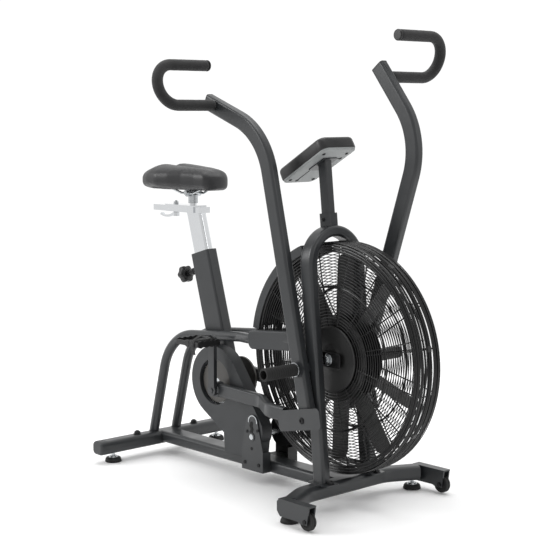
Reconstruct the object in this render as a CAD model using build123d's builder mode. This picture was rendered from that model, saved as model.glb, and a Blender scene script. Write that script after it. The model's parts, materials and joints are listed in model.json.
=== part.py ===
"""Air bike: a fan-braked exercise bike with swinging handle arms.

+X is the way the rider faces, +Y the rider's left, +Z up, and the feet stand on z = 0.
Right-hand pieces are on -Y. All sizes are in millimetres.
"""
import os
from math import asin, atan2, cos, degrees, hypot, radians, sin, tan

from build123d import *

os.makedirs("parts", exist_ok=True)

# ---- driving dimensions ----
LENGTH = 1145                                # rear stabilizer to the front of the fan cage
BASE_WIDTH = 560                             # over the front wheel brackets
CAGE_R = 322                                 # fan cage, outer radius
FAN_Z = 410                                  # fan axle height
ARM_TOP_Z = 1102                             # lower bar of the right hand grip, arm leaned back
SEAT_TUBE_TOP_Z = 659
CRANK_Z = 279                                # crank axle height
RUN = 0.05                                   # radial clearance of a running fit
GAP = 0.3                                    # gap between a soft piece and its neighbour

# ---- base ----
STAB_W, STAB_H, STAB_Z = 50, 42, 50          # stabilizer tube section and centre height
STAB_R = 14                                  # its corner radius
STAB_TOP = STAB_Z + STAB_H / 2
WALL = 3                                     # steel tube wall
REAR_X = -LENGTH / 2 + STAB_W / 2
REAR_HALF = 271                              # rear stabilizer, half length over the caps
CAP_LEN = 30                                 # plastic end cap
FAN_X = LENGTH / 2 - CAGE_R
CRANK_X = FAN_X - 479
FRONT_X = FAN_X + 7                          # front stabilizer's straight middle
BEAM_W, BEAM_H = 70, 36
FOOT_R, FOOT_H = 26, 14                      # rubber pad of a levelling foot
REAR_FOOT_X = REAR_X + FOOT_R - STAB_W / 2
FEET = ((REAR_FOOT_X, -210), (REAR_FOOT_X, 210), (FRONT_X + 37, -243), (FRONT_X + 37, 243))
BRACKET_X0, BRACKET_L = FRONT_X + 26, 122    # wheel bracket, rear end and length
BRACKET_IN, BRACKET_T = BASE_WIDTH / 2 - 27, 4
WHEEL_R, WHEEL_W = 25, 17
WHEEL_X, WHEEL_Z = BRACKET_X0 + BRACKET_L - 17, 28
WHEEL_AXLE_R = 4

# ---- side frame ----
STAY_R, STAY_Y = 15, 45                      # round stays, half spacing
STAY_CORNER = (REAR_X + 83.5, 394.5)         # where a stay bends into its top tube
TOP_SLOPE = 5.4                              # degrees the top tubes climb to the front
SEAT_TILT = 16.3                             # degrees the seat tube leans back
SEAT_TUBE_X = CRANK_X - 122.5                # its centre at the top
SEAT_TUBE = (84, 40)
POST = (66, 28)                              # chrome seat post section
FORK_LEAN = 5.1                              # degrees the fork leans back
FORK_X, FORK_Y, FORK_Z = FRONT_X + 4.5, 92, STAB_TOP + 4
FORK_LEN = 685                               # foot plate to the top of the arch centre line
FORK_TUBE = (30, 45)                         # across, fore and aft

# ---- arms and linkage ----
PIVOT = (FAN_X - 35, 389)                    # arm pivot, x and z
ARM_IN, ARM_W, ARM_D = 111, 28, 46           # inner face |y|, width, depth fore and aft
ARM_LEAN, ARM_TOP_LEAN, ARM_BEND_R = 13.2, 69.5, 200
ARM_CORNER_Z = ARM_TOP_Z - 77                # where the arm's straight lines would meet
ARM_CORNER = (PIVOT[0] - 4.8 - (ARM_CORNER_Z - PIVOT[1]) * tan(radians(ARM_LEAN)), ARM_CORNER_Z)
ARM_END = (FAN_X - 6.5, 252)                 # link bolt axis on the right arm, x and z
GRIP_BAR = (ARM_CORNER[0] - 194, ARM_TOP_Z)  # lower grip bar, x and z
GRIP_RISE, GRIP_LEAN = 117, 16.5             # bar spacing and the lean of the C grip
GRIP_Y0, GRIP_Y1 = 125, 268                  # where the bars start and where they curve
GRIP_TIP = 138                               # where the upper bar ends
FOAM_R, BAR_R = 16, 11
PIN_R, PIN_PHASE = 40, -22                   # crank pin circle, right pin's rest angle
PIN_D = 16
LINK_Y, LINK_W, LINK_H = 80, 22, 40          # link's rear plane, width and height
LINK_OUT_Y = 136                             # link's front plane
PLATE_L, PLATE_H, PLATE_TILT = 166, 58, 13   # link's end plate, tilted up at the front
PEDAL_ARM_Y, PEDAL_ARM_T = 95, 12
PEDAL_RISE = 152                             # crank pin to pedal spindle
PEDAL_L, PEDAL_W = 102, 88                   # pedal fore and aft, and across
PEG_Y0, PEG_Y1, PEG_R, PEG_BORE = 152, 266, 18, 12  # foot peg's ends, radius and open bore

# ---- fan and drive ----
CAGE_HALF = 40                               # half width of the cage at its rim
CAGE_CAP_R = 92
CAGE_NOSE = 49                               # |y| of the hub cap's outer face
FAN_R, FAN_HALF, BLADES = CAGE_R - 34, 33, 10
JACK_X, JACK_Z = CRANK_X + 171, 140          # jackshaft
BELT_Y, BELT_W, BELT_T = 60, 9, 4
PULLEY_R, FAN_PULLEY_R = 46, 20
SPROCKET_R, JACK_SPROCKET_R = 80, 28
CASE_IN, CASE_OUT = 24, 62                   # chain case between these |y|
CASE_R, LOBE_R = 108, 55                     # its rear round, and its lobe round the jackshaft
RECESS_R, DISC_R = 70, 64
FAN_DISC_R, BLADE_START = 118, 88            # fan hub discs, and the first blade's angle

SIDES = ((-1, "right"), (1, "left"))


def side_plane(side, y):
    """Profile plane (local x = X, local y = Z) at |y| on one side, normal outward on the right."""
    return Plane.XZ.offset(-side * y)


GROUPS = {}


def save(part, name):
    part.part.label = name
    export_step(part.part, f"parts/{name}.step")


def keep(part, group):
    """Add separate pieces to a node that is saved at the end."""
    GROUPS.setdefault(group, []).extend(part.part.solids())


def tilt(point, pivot, angle):
    """Turn an (x, z) point about a pivot; a positive angle leans the top forward."""
    a = radians(angle)
    dx, dz = point[0] - pivot[0], point[1] - pivot[1]
    return (pivot[0] + dx * cos(a) + dz * sin(a), pivot[1] - dx * sin(a) + dz * cos(a))


def pin_at(phase):
    return (CRANK_X + PIN_R * cos(radians(phase)), CRANK_Z + PIN_R * sin(radians(phase)))


def fork_x(z):
    """Fork leg centre at a height."""
    return FORK_X - (z - FORK_Z) * tan(radians(FORK_LEAN))


def seat_x(z):
    """Seat tube centre at a height."""
    return SEAT_TUBE_X + (SEAT_TUBE_TOP_Z - z) * tan(radians(SEAT_TILT))


# The left arm's rest angle closes the linkage: crank pin, equal link, arm end.
PIN_RIGHT, PIN_LEFT = pin_at(PIN_PHASE), pin_at(PIN_PHASE + 180)
LINK_LEN = hypot(ARM_END[0] - PIN_RIGHT[0], ARM_END[1] - PIN_RIGHT[1])
ARM_LOW = hypot(ARM_END[0] - PIVOT[0], ARM_END[1] - PIVOT[1])
REACH = hypot(PIVOT[0] - PIN_LEFT[0], PIVOT[1] - PIN_LEFT[1])
FOOT_ALONG = (LINK_LEN ** 2 - ARM_LOW ** 2 + REACH ** 2) / (2 * REACH)
FOOT_ACROSS = (LINK_LEN ** 2 - FOOT_ALONG ** 2) ** 0.5
UNIT = ((PIVOT[0] - PIN_LEFT[0]) / REACH, (PIVOT[1] - PIN_LEFT[1]) / REACH)
LEFT_END = (PIN_LEFT[0] + FOOT_ALONG * UNIT[0] + FOOT_ACROSS * UNIT[1],
            PIN_LEFT[1] + FOOT_ALONG * UNIT[1] - FOOT_ACROSS * UNIT[0])
SWING = (degrees(atan2(ARM_END[0] - PIVOT[0], PIVOT[1] - ARM_END[1]))
         - degrees(atan2(LEFT_END[0] - PIVOT[0], PIVOT[1] - LEFT_END[1])))
ARM_REST = {"right": 0.0, "left": SWING}
PIN_REST = {"right": PIN_RIGHT, "left": PIN_LEFT}
END_REST = {"right": ARM_END, "left": LEFT_END}

# ======================= base =======================
with BuildPart() as rear_envelope:
    with BuildSketch(Plane.XZ.offset(-REAR_HALF)):
        with Locations((REAR_X, STAB_Z)):
            RectangleRounded(STAB_W, STAB_H, STAB_R)
    extrude(amount=2 * REAR_HALF)

with BuildPart() as rear_stabilizer:
    with BuildSketch(Plane.XZ.offset(-REAR_HALF + CAP_LEN)):
        with Locations((REAR_X, STAB_Z)):
            RectangleRounded(STAB_W, STAB_H, STAB_R)
            RectangleRounded(STAB_W - 2 * WALL, STAB_H - 2 * WALL, STAB_R - WALL, mode=Mode.SUBTRACT)
    extrude(amount=2 * (REAR_HALF - CAP_LEN))
save(rear_stabilizer, "rear_stabilizer")

for side, tag in SIDES:
    with BuildPart() as cap:
        with BuildSketch(side_plane(side, REAR_HALF - CAP_LEN)):
            with Locations((REAR_X, STAB_Z)):
                RectangleRounded(STAB_W, STAB_H, STAB_R)
        extrude(amount=-side * CAP_LEN)
        fillet(cap.faces().sort_by(Axis.Y)[0 if side < 0 else -1].edges(), 8)
    keep(cap, "frame_trim")

FRONT_PATH = [(FRONT_X + 49, -BRACKET_IN), (FRONT_X, -155), (FRONT_X, 155), (FRONT_X + 49, BRACKET_IN)]


def front_bar(section_w, section_h, corner):
    """Bowed bar along the front stabilizer's centre line."""
    with BuildPart() as bar:
        with BuildLine(Plane.XY.offset(STAB_Z)) as path:
            FilletPolyline(*FRONT_PATH, radius=120)
        with BuildSketch(Plane(path.line @ 0, x_dir=(0, 0, 1), z_dir=path.line % 0)):
            RectangleRounded(section_h, section_w, corner)
        sweep()
    return bar


with BuildPart() as front_stabilizer:
    add(front_bar(STAB_W, STAB_H, STAB_R).part)
    add(front_bar(STAB_W - 2 * WALL, STAB_H - 2 * WALL, STAB_R - WALL).part, mode=Mode.SUBTRACT)
    split(bisect_by=Plane.XZ.offset(BRACKET_IN), keep=Keep.BOTTOM)
    split(bisect_by=Plane.XZ.offset(-BRACKET_IN), keep=Keep.TOP)
save(front_stabilizer, "front_stabilizer")
FRONT_SOLID = front_bar(STAB_W, STAB_H, STAB_R).part

with BuildPart() as main_beam:
    with BuildSketch(Plane.YZ.offset(REAR_X)):
        with Locations((0, STAB_TOP - BEAM_H / 2)):
            RectangleRounded(BEAM_W, BEAM_H, 12)
            RectangleRounded(BEAM_W - 2 * WALL, BEAM_H - 2 * WALL, 9, mode=Mode.SUBTRACT)
    extrude(amount=FRONT_X - REAR_X)
    add(rear_envelope.part, mode=Mode.SUBTRACT)
    add(FRONT_SOLID, mode=Mode.SUBTRACT)
save(main_beam, "main_beam")

for side, tag in SIDES:
    with BuildPart() as bracket:
        z0, z1 = STAB_Z - 26, STAB_TOP
        with BuildSketch(Plane.XY.offset(z1 - BRACKET_T)):
            with Locations((BRACKET_X0 + 5, side * BRACKET_IN)):
                Rectangle(BRACKET_L - 5, 27, align=(Align.MIN, Align.MIN if side > 0 else Align.MAX))
        extrude(amount=BRACKET_T)
        for y in (BRACKET_IN, BASE_WIDTH / 2 - BRACKET_T):
            with BuildSketch(side_plane(side, y)):
                with BuildLine():
                    Polyline((BRACKET_X0 + 12, z0), (BRACKET_X0, z0 + 14), (BRACKET_X0, z1 - 8),
                             (BRACKET_X0 + 8, z1), (BRACKET_X0 + BRACKET_L, z1),
                             (BRACKET_X0 + BRACKET_L - 8, WHEEL_Z - 8), (WHEEL_X - 14, WHEEL_Z - 8),
                             (WHEEL_X - 26, z0), close=True)
                make_face()
                with Locations((WHEEL_X, WHEEL_Z)):
                    Circle(WHEEL_AXLE_R, mode=Mode.SUBTRACT)
            extrude(amount=-side * BRACKET_T)
    keep(bracket, "wheel_brackets")

    with BuildPart() as wheel:
        mid = BASE_WIDTH / 2 - 13.5
        with BuildSketch(side_plane(side, mid - WHEEL_W / 2)):
            with Locations((WHEEL_X, WHEEL_Z)):
                Circle(WHEEL_R)
                Circle(WHEEL_AXLE_R + RUN, mode=Mode.SUBTRACT)
        extrude(amount=-side * WHEEL_W)
        fillet(wheel.edges().filter_by(GeomType.CIRCLE).sort_by(SortBy.RADIUS)[-2:], 3)
    save(wheel, f"transport_wheel_{tag}")

    with BuildPart() as wheel_bolt:
        with BuildSketch(side_plane(side, BRACKET_IN - 5)):
            with Locations((WHEEL_X, WHEEL_Z)):
                Circle(WHEEL_AXLE_R)
        extrude(amount=-side * 32)
        for y, t in ((BRACKET_IN - 5, 5), (BASE_WIDTH / 2, 3)):
            with BuildSketch(side_plane(side, y)):
                with Locations((WHEEL_X, WHEEL_Z)):
                    RegularPolygon(7, 6)
            extrude(amount=-side * t)
    keep(wheel_bolt, "frame_bolts")

for x, y in FEET:
    with BuildPart() as pad:
        with BuildSketch(Plane.XY):
            with Locations((x, y)):
                Circle(FOOT_R)
        extrude(amount=FOOT_H, taper=18)
    keep(pad, "foot_pads")
    with BuildPart() as stud:
        with BuildSketch(Plane.XY.offset(FOOT_H)):
            with Locations((x, y)):
                Circle(14)
        extrude(amount=5, taper=25)
        with BuildSketch(Plane.XY.offset(FOOT_H + 5)):
            with Locations((x, y)):
                Circle(5)
        extrude(amount=STAB_Z - STAB_H / 2 - FOOT_H - 5)
    keep(stud, "foot_studs")

with BuildPart() as dome_nuts:
    for y in (-115, 115):
        with BuildSketch(Plane.XY.offset(STAB_TOP)):
            with Locations((REAR_X, y)):
                Circle(12)
        extrude(amount=2)
        with BuildSketch(Plane.XY.offset(STAB_TOP + 2)):
            with Locations((REAR_X, y)):
                RegularPolygon(9, 6)
        extrude(amount=7)
        with BuildSketch(Plane.XY.offset(STAB_TOP + 9)):
            with Locations((REAR_X, y)):
                Circle(7)
        extrude(amount=5, taper=20)
keep(dome_nuts, "frame_bolts")

# ======================= side frame =======================
FORK_PLANE = Plane(origin=(FORK_X, 0, FORK_Z), x_dir=(0, 1, 0),
                   z_dir=(cos(radians(FORK_LEAN)), 0, sin(radians(FORK_LEAN))))
LEG_LEN = FORK_LEN - FORK_Y


def fork_leg(side, across, deep, corner):
    with BuildPart() as leg:
        with BuildSketch(Plane(origin=(FORK_X, side * FORK_Y, FORK_Z), x_dir=(0, 1, 0),
                               z_dir=(-sin(radians(FORK_LEAN)), 0, cos(radians(FORK_LEAN))))):
            RectangleRounded(across, deep, corner)
        extrude(amount=-8)
        extrude(leg.faces().sort_by(Axis.Z)[-1], amount=LEG_LEN)
        split(bisect_by=Plane.XY.offset(FORK_Z), keep=Keep.TOP)
    return leg


LEG_SOLID = {}
for side, tag in SIDES:
    LEG_SOLID[tag] = fork_leg(side, *FORK_TUBE, 9).part
    with BuildPart() as leg:
        add(LEG_SOLID[tag])
        add(fork_leg(side, FORK_TUBE[0] - 2 * WALL, FORK_TUBE[1] - 2 * WALL, 6).part, mode=Mode.SUBTRACT)
    save(leg, f"fork_leg_{tag}")
    with BuildPart() as foot_plate:
        with BuildSketch(Plane.XY.offset(STAB_TOP)):
            with Locations((FORK_X + 6, side * FORK_Y)):
                RectangleRounded(78, 50, 8)
        extrude(amount=FORK_Z - STAB_TOP)
    keep(foot_plate, "fork_fittings")

with BuildPart() as fork_arch:
    with BuildLine(FORK_PLANE) as arch_line:
        CenterArc((0, LEG_LEN), FORK_Y, 0, 180)
    with BuildSketch(Plane(arch_line.line @ 0, x_dir=FORK_PLANE.x_dir, z_dir=arch_line.line % 0)):
        RectangleRounded(*FORK_TUBE, 9)
        RectangleRounded(FORK_TUBE[0] - 2 * WALL, FORK_TUBE[1] - 2 * WALL, 6, mode=Mode.SUBTRACT)
    sweep()
save(fork_arch, "fork_arch")

with BuildPart() as fork_bolts:
    for side, _ in SIDES:
        for z, r, t, n in ((FORK_Z, 11, 2, 0), (FORK_Z + 2, 8.5, 7, 6)):
            with BuildSketch(Plane.XY.offset(z)):
                with Locations((FORK_X + 35, side * FORK_Y)):
                    Circle(r) if n == 0 else RegularPolygon(r, n)
            extrude(amount=t)
keep(fork_bolts, "frame_bolts")

TOP_TAN = tan(radians(TOP_SLOPE))


def top_z(x):
    """Top tube centre height."""
    return STAY_CORNER[1] + (x - STAY_CORNER[0]) * TOP_TAN


SPLAY = ((-130, STAY_Y), (-45, 80), (FAN_X - 20, FORK_Y))
BADGE_X = 76                                 # middle of the side cover


def stay_tube(side, radius):
    """Stay and top tube as one bent bar, splayed past the fan cage."""
    with BuildPart() as tube:
        with BuildLine() as path:
            FilletPolyline((REAR_X - 10, side * STAY_Y, STAB_Z),
                           (STAY_CORNER[0], side * STAY_Y, STAY_CORNER[1]),
                           *[(x, side * y, top_z(x)) for x, y in SPLAY], radius=(160, 60, 60))
        with BuildSketch(Plane(path.line @ 0, z_dir=path.line % 0)):
            Circle(radius)
        sweep()
    return tube


STAY_SOLID = {}
for side, tag in SIDES:
    STAY_SOLID[tag] = stay_tube(side, STAY_R).part
    with BuildPart() as stay:
        add(STAY_SOLID[tag])
        add(stay_tube(side, STAY_R - 2.5).part, mode=Mode.SUBTRACT)
        add(rear_envelope.part, mode=Mode.SUBTRACT)
        add(LEG_SOLID[tag], mode=Mode.SUBTRACT)
    save(stay, f"stay_{tag}")

    with BuildPart() as badge:
        with BuildSketch(side_plane(side, 84)):
            with Locations((BADGE_X, top_z(BADGE_X))):
                RectangleRounded(220, 54, 18, rotation=TOP_SLOPE)
        extrude(amount=-side * 18)
        fillet(badge.faces().sort_by(Axis.Y)[0 if side < 0 else -1].edges(), 5)
        add(stay_tube(side, STAY_R + 0.2).part, mode=Mode.SUBTRACT)
    keep(badge, "frame_trim")

SEAT_AXIS = Plane(origin=(SEAT_TUBE_X, 0, SEAT_TUBE_TOP_Z),
                  x_dir=(cos(radians(SEAT_TILT)), 0, sin(radians(SEAT_TILT))),
                  z_dir=(-sin(radians(SEAT_TILT)), 0, cos(radians(SEAT_TILT))))
KNOB_DOWN = 50                               # pop pin below the seat tube's top, along the tube
SEAT_LEN = 640
BRIDGE_Z = top_z(seat_x(428))
COLLAR = 50                                  # pop pin's collar, off the seat tube
PIN_PLANE = Plane(origin=SEAT_AXIS.from_local_coords((-SEAT_TUBE[0] / 2, 0, -KNOB_DOWN)),
                  x_dir=(0, 1, 0), z_dir=-SEAT_AXIS.x_dir)

with BuildPart() as seat_tube:
    with BuildSketch(SEAT_AXIS):
        RectangleRounded(*SEAT_TUBE, 8)
        RectangleRounded(SEAT_TUBE[0] - 2 * WALL, SEAT_TUBE[1] - 2 * WALL, 5, mode=Mode.SUBTRACT)
    extrude(amount=-SEAT_LEN)
    split(bisect_by=Plane.XY.offset(STAB_TOP), keep=Keep.TOP)
    with BuildSketch(Plane.XZ.offset(-CASE_IN)):
        with Locations((CRANK_X, CRANK_Z)):
            Circle(22)
    extrude(amount=2 * CASE_IN, mode=Mode.SUBTRACT)
    with BuildSketch(PIN_PLANE):
        Circle(11)
    extrude(amount=-WALL * 2, mode=Mode.SUBTRACT)
    # Bottom bracket shell, and bridges to the top tubes.
    with BuildSketch(Plane.XZ.offset(-CASE_IN)):
        with Locations((CRANK_X, CRANK_Z)):
            Circle(22)
            Circle(10 + RUN, mode=Mode.SUBTRACT)
    extrude(amount=2 * CASE_IN)
    for side, tag in SIDES:
        with BuildSketch(side_plane(side, SEAT_TUBE[1] / 2)):
            with Locations((seat_x(BRIDGE_Z), BRIDGE_Z)):
                Circle(11)
        extrude(amount=-side * 20)
        add(STAY_SOLID[tag], mode=Mode.SUBTRACT)
save(seat_tube, "seat_tube")

with BuildPart() as seat_sleeve:
    with BuildSketch(SEAT_AXIS):
        RectangleRounded(SEAT_TUBE[0] - 2 * WALL, SEAT_TUBE[1] - 2 * WALL, 5)
        RectangleRounded(POST[0] + 2 * RUN, POST[1] + 2 * RUN, 8, mode=Mode.SUBTRACT)
    extrude(amount=-150)
    with BuildSketch(PIN_PLANE):
        Circle(5.5)
    extrude(amount=-30, mode=Mode.SUBTRACT)
save(seat_sleeve, "seat_sleeve")

# ======================= seat =======================
POST_UP = 122                                # post shown above the seat tube
POST_IN = 230                                # post inside the seat tube
RAIL_Z = 786                                 # slider rail centre height
RAIL_X0, RAIL_L, RAIL_W, RAIL_H = SEAT_TUBE_X - 220, 225, 44, 18
SADDLE_X = SEAT_TUBE_X - 65.5                            # middle of the saddle
STUB_X = SEAT_TUBE_X - 49                                # seat clamp stub
LEVER_X = SEAT_TUBE_X - 133                               # clamp bolt

with BuildPart() as seat_post:
    with BuildSketch(SEAT_AXIS.offset(-POST_IN)):
        RectangleRounded(*POST, 8)
        RectangleRounded(POST[0] - 5, POST[1] - 5, 5.5, mode=Mode.SUBTRACT)
    extrude(amount=POST_IN + POST_UP + 30)
    split(bisect_by=Plane.XY.offset(RAIL_Z - RAIL_H / 2), keep=Keep.BOTTOM)
    with BuildSketch(Plane(origin=PIN_PLANE.origin, x_dir=PIN_PLANE.x_dir, z_dir=PIN_PLANE.z_dir)):
        with Locations(*[(0, step * 24) for step in range(-4, 5)]):
            Circle(4.5)
    extrude(amount=-20, mode=Mode.SUBTRACT)
    # The slider rail is welded across the post's top.
    with BuildSketch(Plane.YZ.offset(RAIL_X0)):
        with Locations((0, RAIL_Z)):
            Rectangle(RAIL_W, RAIL_H)
            Rectangle(RAIL_W - 8, RAIL_H - 8, mode=Mode.SUBTRACT)
    extrude(amount=RAIL_L)
    with BuildSketch(Plane.YZ.offset(RAIL_X0 + RAIL_L - 4)):
        with Locations((0, RAIL_Z)):
            Rectangle(RAIL_W, RAIL_H)
    extrude(amount=4)
    with BuildSketch(Plane.XY.offset(RAIL_Z - RAIL_H)):
        with Locations((LEVER_X + 4, 0)):
            SlotCenterToCenter(76, 9)
    extrude(amount=2 * RAIL_H, mode=Mode.SUBTRACT)
save(seat_post, "seat_post")

with BuildPart() as carriage:
    cx0, cx1 = LEVER_X - 22, STUB_X + 32
    with BuildSketch(Plane.YZ.offset(cx0)):
        with Locations((0, RAIL_Z)):
            Rectangle(RAIL_W + 9, RAIL_H + 8)
            Rectangle(RAIL_W + 2 * RUN, RAIL_H + 2 * RUN, mode=Mode.SUBTRACT)
            with Locations((0, -RAIL_H)):
                Rectangle(RAIL_W + 12, RAIL_H, mode=Mode.SUBTRACT)
    extrude(amount=cx1 - cx0)
    with BuildSketch(Plane.XY.offset(RAIL_Z + RAIL_H / 2)):
        with Locations((LEVER_X, 0)):
            Circle(4 + RUN)
    extrude(amount=10, mode=Mode.SUBTRACT)
    with BuildSketch(Plane.XY.offset(RAIL_Z + RAIL_H / 2 + 4)):
        with Locations((STUB_X, 0)):
            Circle(11)
    extrude(amount=24)
save(carriage, "seat_carriage")

with BuildPart() as clamp_bolt:
    with BuildSketch(Plane.XY.offset(RAIL_Z - RAIL_H / 2 - 16)):
        with Locations((LEVER_X, 0)):
            Circle(4)
    extrude(amount=RAIL_H + 31)
    with BuildSketch(Plane.XY.offset(RAIL_Z + RAIL_H / 2 + 4)):
        with Locations((LEVER_X, 0)):
            RegularPolygon(8, 6)
    extrude(amount=7)
    with BuildSketch(Plane.XY.offset(RAIL_Z - RAIL_H / 2 - 4)):
        with Locations((LEVER_X, 0)):
            Circle(9)
    extrude(amount=3.9)
keep(clamp_bolt, "seat_clamp")

with BuildPart() as lever:
    LEVER_TOP = RAIL_Z - RAIL_H / 2 - 4
    with BuildSketch(Plane.XY.offset(LEVER_TOP - 12)):
        with Locations((LEVER_X, 0)):
            Circle(11)
            Circle(4 + RUN, mode=Mode.SUBTRACT)
    extrude(amount=11.8)
    with BuildSketch(Plane.XZ.offset(-6)):
        with BuildLine():
            Spline((LEVER_X - 9, LEVER_TOP - 1), (LEVER_X - 40, LEVER_TOP - 10),
                   (LEVER_X - 72, LEVER_TOP - 5))
            Line((LEVER_X - 72, LEVER_TOP - 5), (LEVER_X - 74, LEVER_TOP - 11))
            Spline((LEVER_X - 74, LEVER_TOP - 11), (LEVER_X - 40, LEVER_TOP - 17),
                   (LEVER_X - 9, LEVER_TOP - 11))
            Line((LEVER_X - 9, LEVER_TOP - 11), (LEVER_X - 9, LEVER_TOP - 1))
        make_face()
    extrude(amount=12)
save(lever, "clamp_lever")

CLAMP_Z = 838                                # saddle rail wires
with BuildPart() as seat_clamp:
    with BuildSketch(Plane.XY.offset(RAIL_Z + RAIL_H / 2 + 10)):
        with Locations((STUB_X, 0)):
            Circle(15)
            Circle(11 + RUN, mode=Mode.SUBTRACT)
    extrude(amount=26)
    with BuildSketch(Plane.XZ.offset(-25)):
        with Locations((STUB_X, CLAMP_Z)):
            Circle(12.4)
    extrude(amount=50)
    with BuildSketch(Plane.XZ.offset(-31)):
        with Locations((STUB_X, CLAMP_Z)):
            RegularPolygon(8, 6)
    extrude(amount=62)
keep(seat_clamp, "seat_clamp")

with BuildPart() as saddle_rails:
    for side, _ in SIDES:
        with BuildLine() as wire:
            FilletPolyline((STUB_X + 62, side * 14, 851), (STUB_X + 26, side * 21, CLAMP_Z - 2),
                           (STUB_X - 30, side * 21, CLAMP_Z - 2), (STUB_X - 58, side * 40, 851), radius=9)
        with BuildSketch(Plane(wire.line @ 0, z_dir=wire.line % 0)):
            Circle(3.5)
        sweep()
    add(seat_clamp.part, mode=Mode.SUBTRACT)
save(saddle_rails, "saddle_rails")

SADDLE_Z, SADDLE_H, SADDLE_L = 848, 79, 297  # underside, thickness and length
SADDLE_HALF = ((-0.42, 80), (-0.15, 92), (0.14, 60), (0.4, 40))   # half width along the length
BASE_Z, BASE_T = 851, 4


def saddle_outline(grow):
    """Saddle outline in plan, grown outwards; the nose is blunt."""
    half = SADDLE_L / 2 - 12 + grow
    right = [(SADDLE_X + f * 2 * half, w + grow) for f, w in SADDLE_HALF]
    left = [(x, -y) for x, y in reversed(right)]
    Spline((SADDLE_X - half, 0), *right, (SADDLE_X + half, 0), *left, periodic=True)


with BuildPart() as saddle_base:
    with BuildSketch(Plane.XY.offset(BASE_Z)):
        with BuildLine():
            saddle_outline(-10)
        make_face()
    extrude(amount=BASE_T - GAP)
    add(saddle_rails.part, mode=Mode.SUBTRACT)
save(saddle_base, "saddle_base")

with BuildPart() as saddle:
    for z, grow in ((SADDLE_Z, 0), (SADDLE_Z + 30, 12), (SADDLE_Z + SADDLE_H, -6)):
        with BuildSketch(Plane.XY.offset(z)):
            with BuildLine():
                saddle_outline(grow)
            make_face()
    loft()
    # The base plate sits up inside the cushion.
    with BuildSketch(Plane.XY.offset(SADDLE_Z)):
        with BuildLine():
            saddle_outline(-8)
        make_face()
    extrude(amount=BASE_Z + BASE_T - SADDLE_Z, mode=Mode.SUBTRACT)
save(saddle, "saddle")

# Pop pin: a collar on the seat tube, and a sprung pin with a star knob.
with BuildPart() as pin_collar:
    with BuildSketch(PIN_PLANE):
        Circle(10.8)
        Circle(5 + RUN, mode=Mode.SUBTRACT)
    extrude(amount=COLLAR)
    with BuildSketch(PIN_PLANE.offset(-WALL)):
        Circle(10.8)
        Circle(5 + RUN, mode=Mode.SUBTRACT)
    extrude(amount=WALL)
keep(pin_collar, "frame_bolts")

with BuildPart() as pop_pin:
    with BuildSketch(PIN_PLANE.offset(-(SEAT_TUBE[0] - POST[0]) / 2 + GAP)):
        Circle(4.2)
    extrude(amount=COLLAR + 32)
    with BuildSketch(PIN_PLANE.offset(-(SEAT_TUBE[0] - POST[0]) / 2 + 0.5)):
        Circle(5)
    extrude(amount=COLLAR + 6)
save(pop_pin, "pop_pin")

with BuildPart() as knob:
    with BuildSketch(PIN_PLANE.offset(COLLAR + 1)):
        Circle(21)
        with PolarLocations(20, 6):
            Circle(6)
        Circle(4.2, mode=Mode.SUBTRACT)
    extrude(amount=24)
    with BuildSketch(PIN_PLANE.offset(COLLAR + 1)):
        Circle(5 + RUN)
    extrude(amount=2, mode=Mode.SUBTRACT)
    fillet(knob.faces().sort_by(SortBy.AREA)[-1].edges().filter_by(GeomType.CIRCLE, reverse=False), 2)
save(knob, "knob")

# ======================= chain case and tower =======================
with BuildPart() as chain_case:
    for inset, y0, y1, mode in ((0, CASE_IN, CASE_OUT, Mode.ADD),
                                (3, CASE_IN + 3, CASE_OUT - 15, Mode.SUBTRACT)):
        with BuildSketch(side_plane(-1, y0)):
            with Locations((CRANK_X, CRANK_Z)):
                Circle(CASE_R)
            with Locations((JACK_X - 12, JACK_Z + 18)):
                Circle(LOBE_R)
            make_hull()
            with BuildLine():
                Polyline((CRANK_X - 52, CRANK_Z - 95), (CRANK_X + 41, CRANK_Z - 148),
                         (CRANK_X + 46, STAB_TOP + 2), (JACK_X + 26, STAB_TOP + 2),
                         (JACK_X + 34, JACK_Z - 10), (CRANK_X + 60, CRANK_Z), close=True)
            make_face()
            if inset:
                offset(amount=-inset)
        extrude(amount=y1 - y0, mode=mode)
    with BuildSketch(side_plane(-1, CASE_OUT)):
        with Locations((CRANK_X, CRANK_Z)):
            Circle(RECESS_R)
    extrude(amount=-17, mode=Mode.SUBTRACT)
    for (x, z), r in (((CRANK_X, CRANK_Z), 11), ((JACK_X, JACK_Z), 8.5)):
        with BuildSketch(side_plane(-1, CASE_IN - 2)):
            with Locations((x, z)):
                Circle(r)
        extrude(amount=CASE_OUT - CASE_IN + 4, mode=Mode.SUBTRACT)
save(chain_case, "chain_case")

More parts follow.
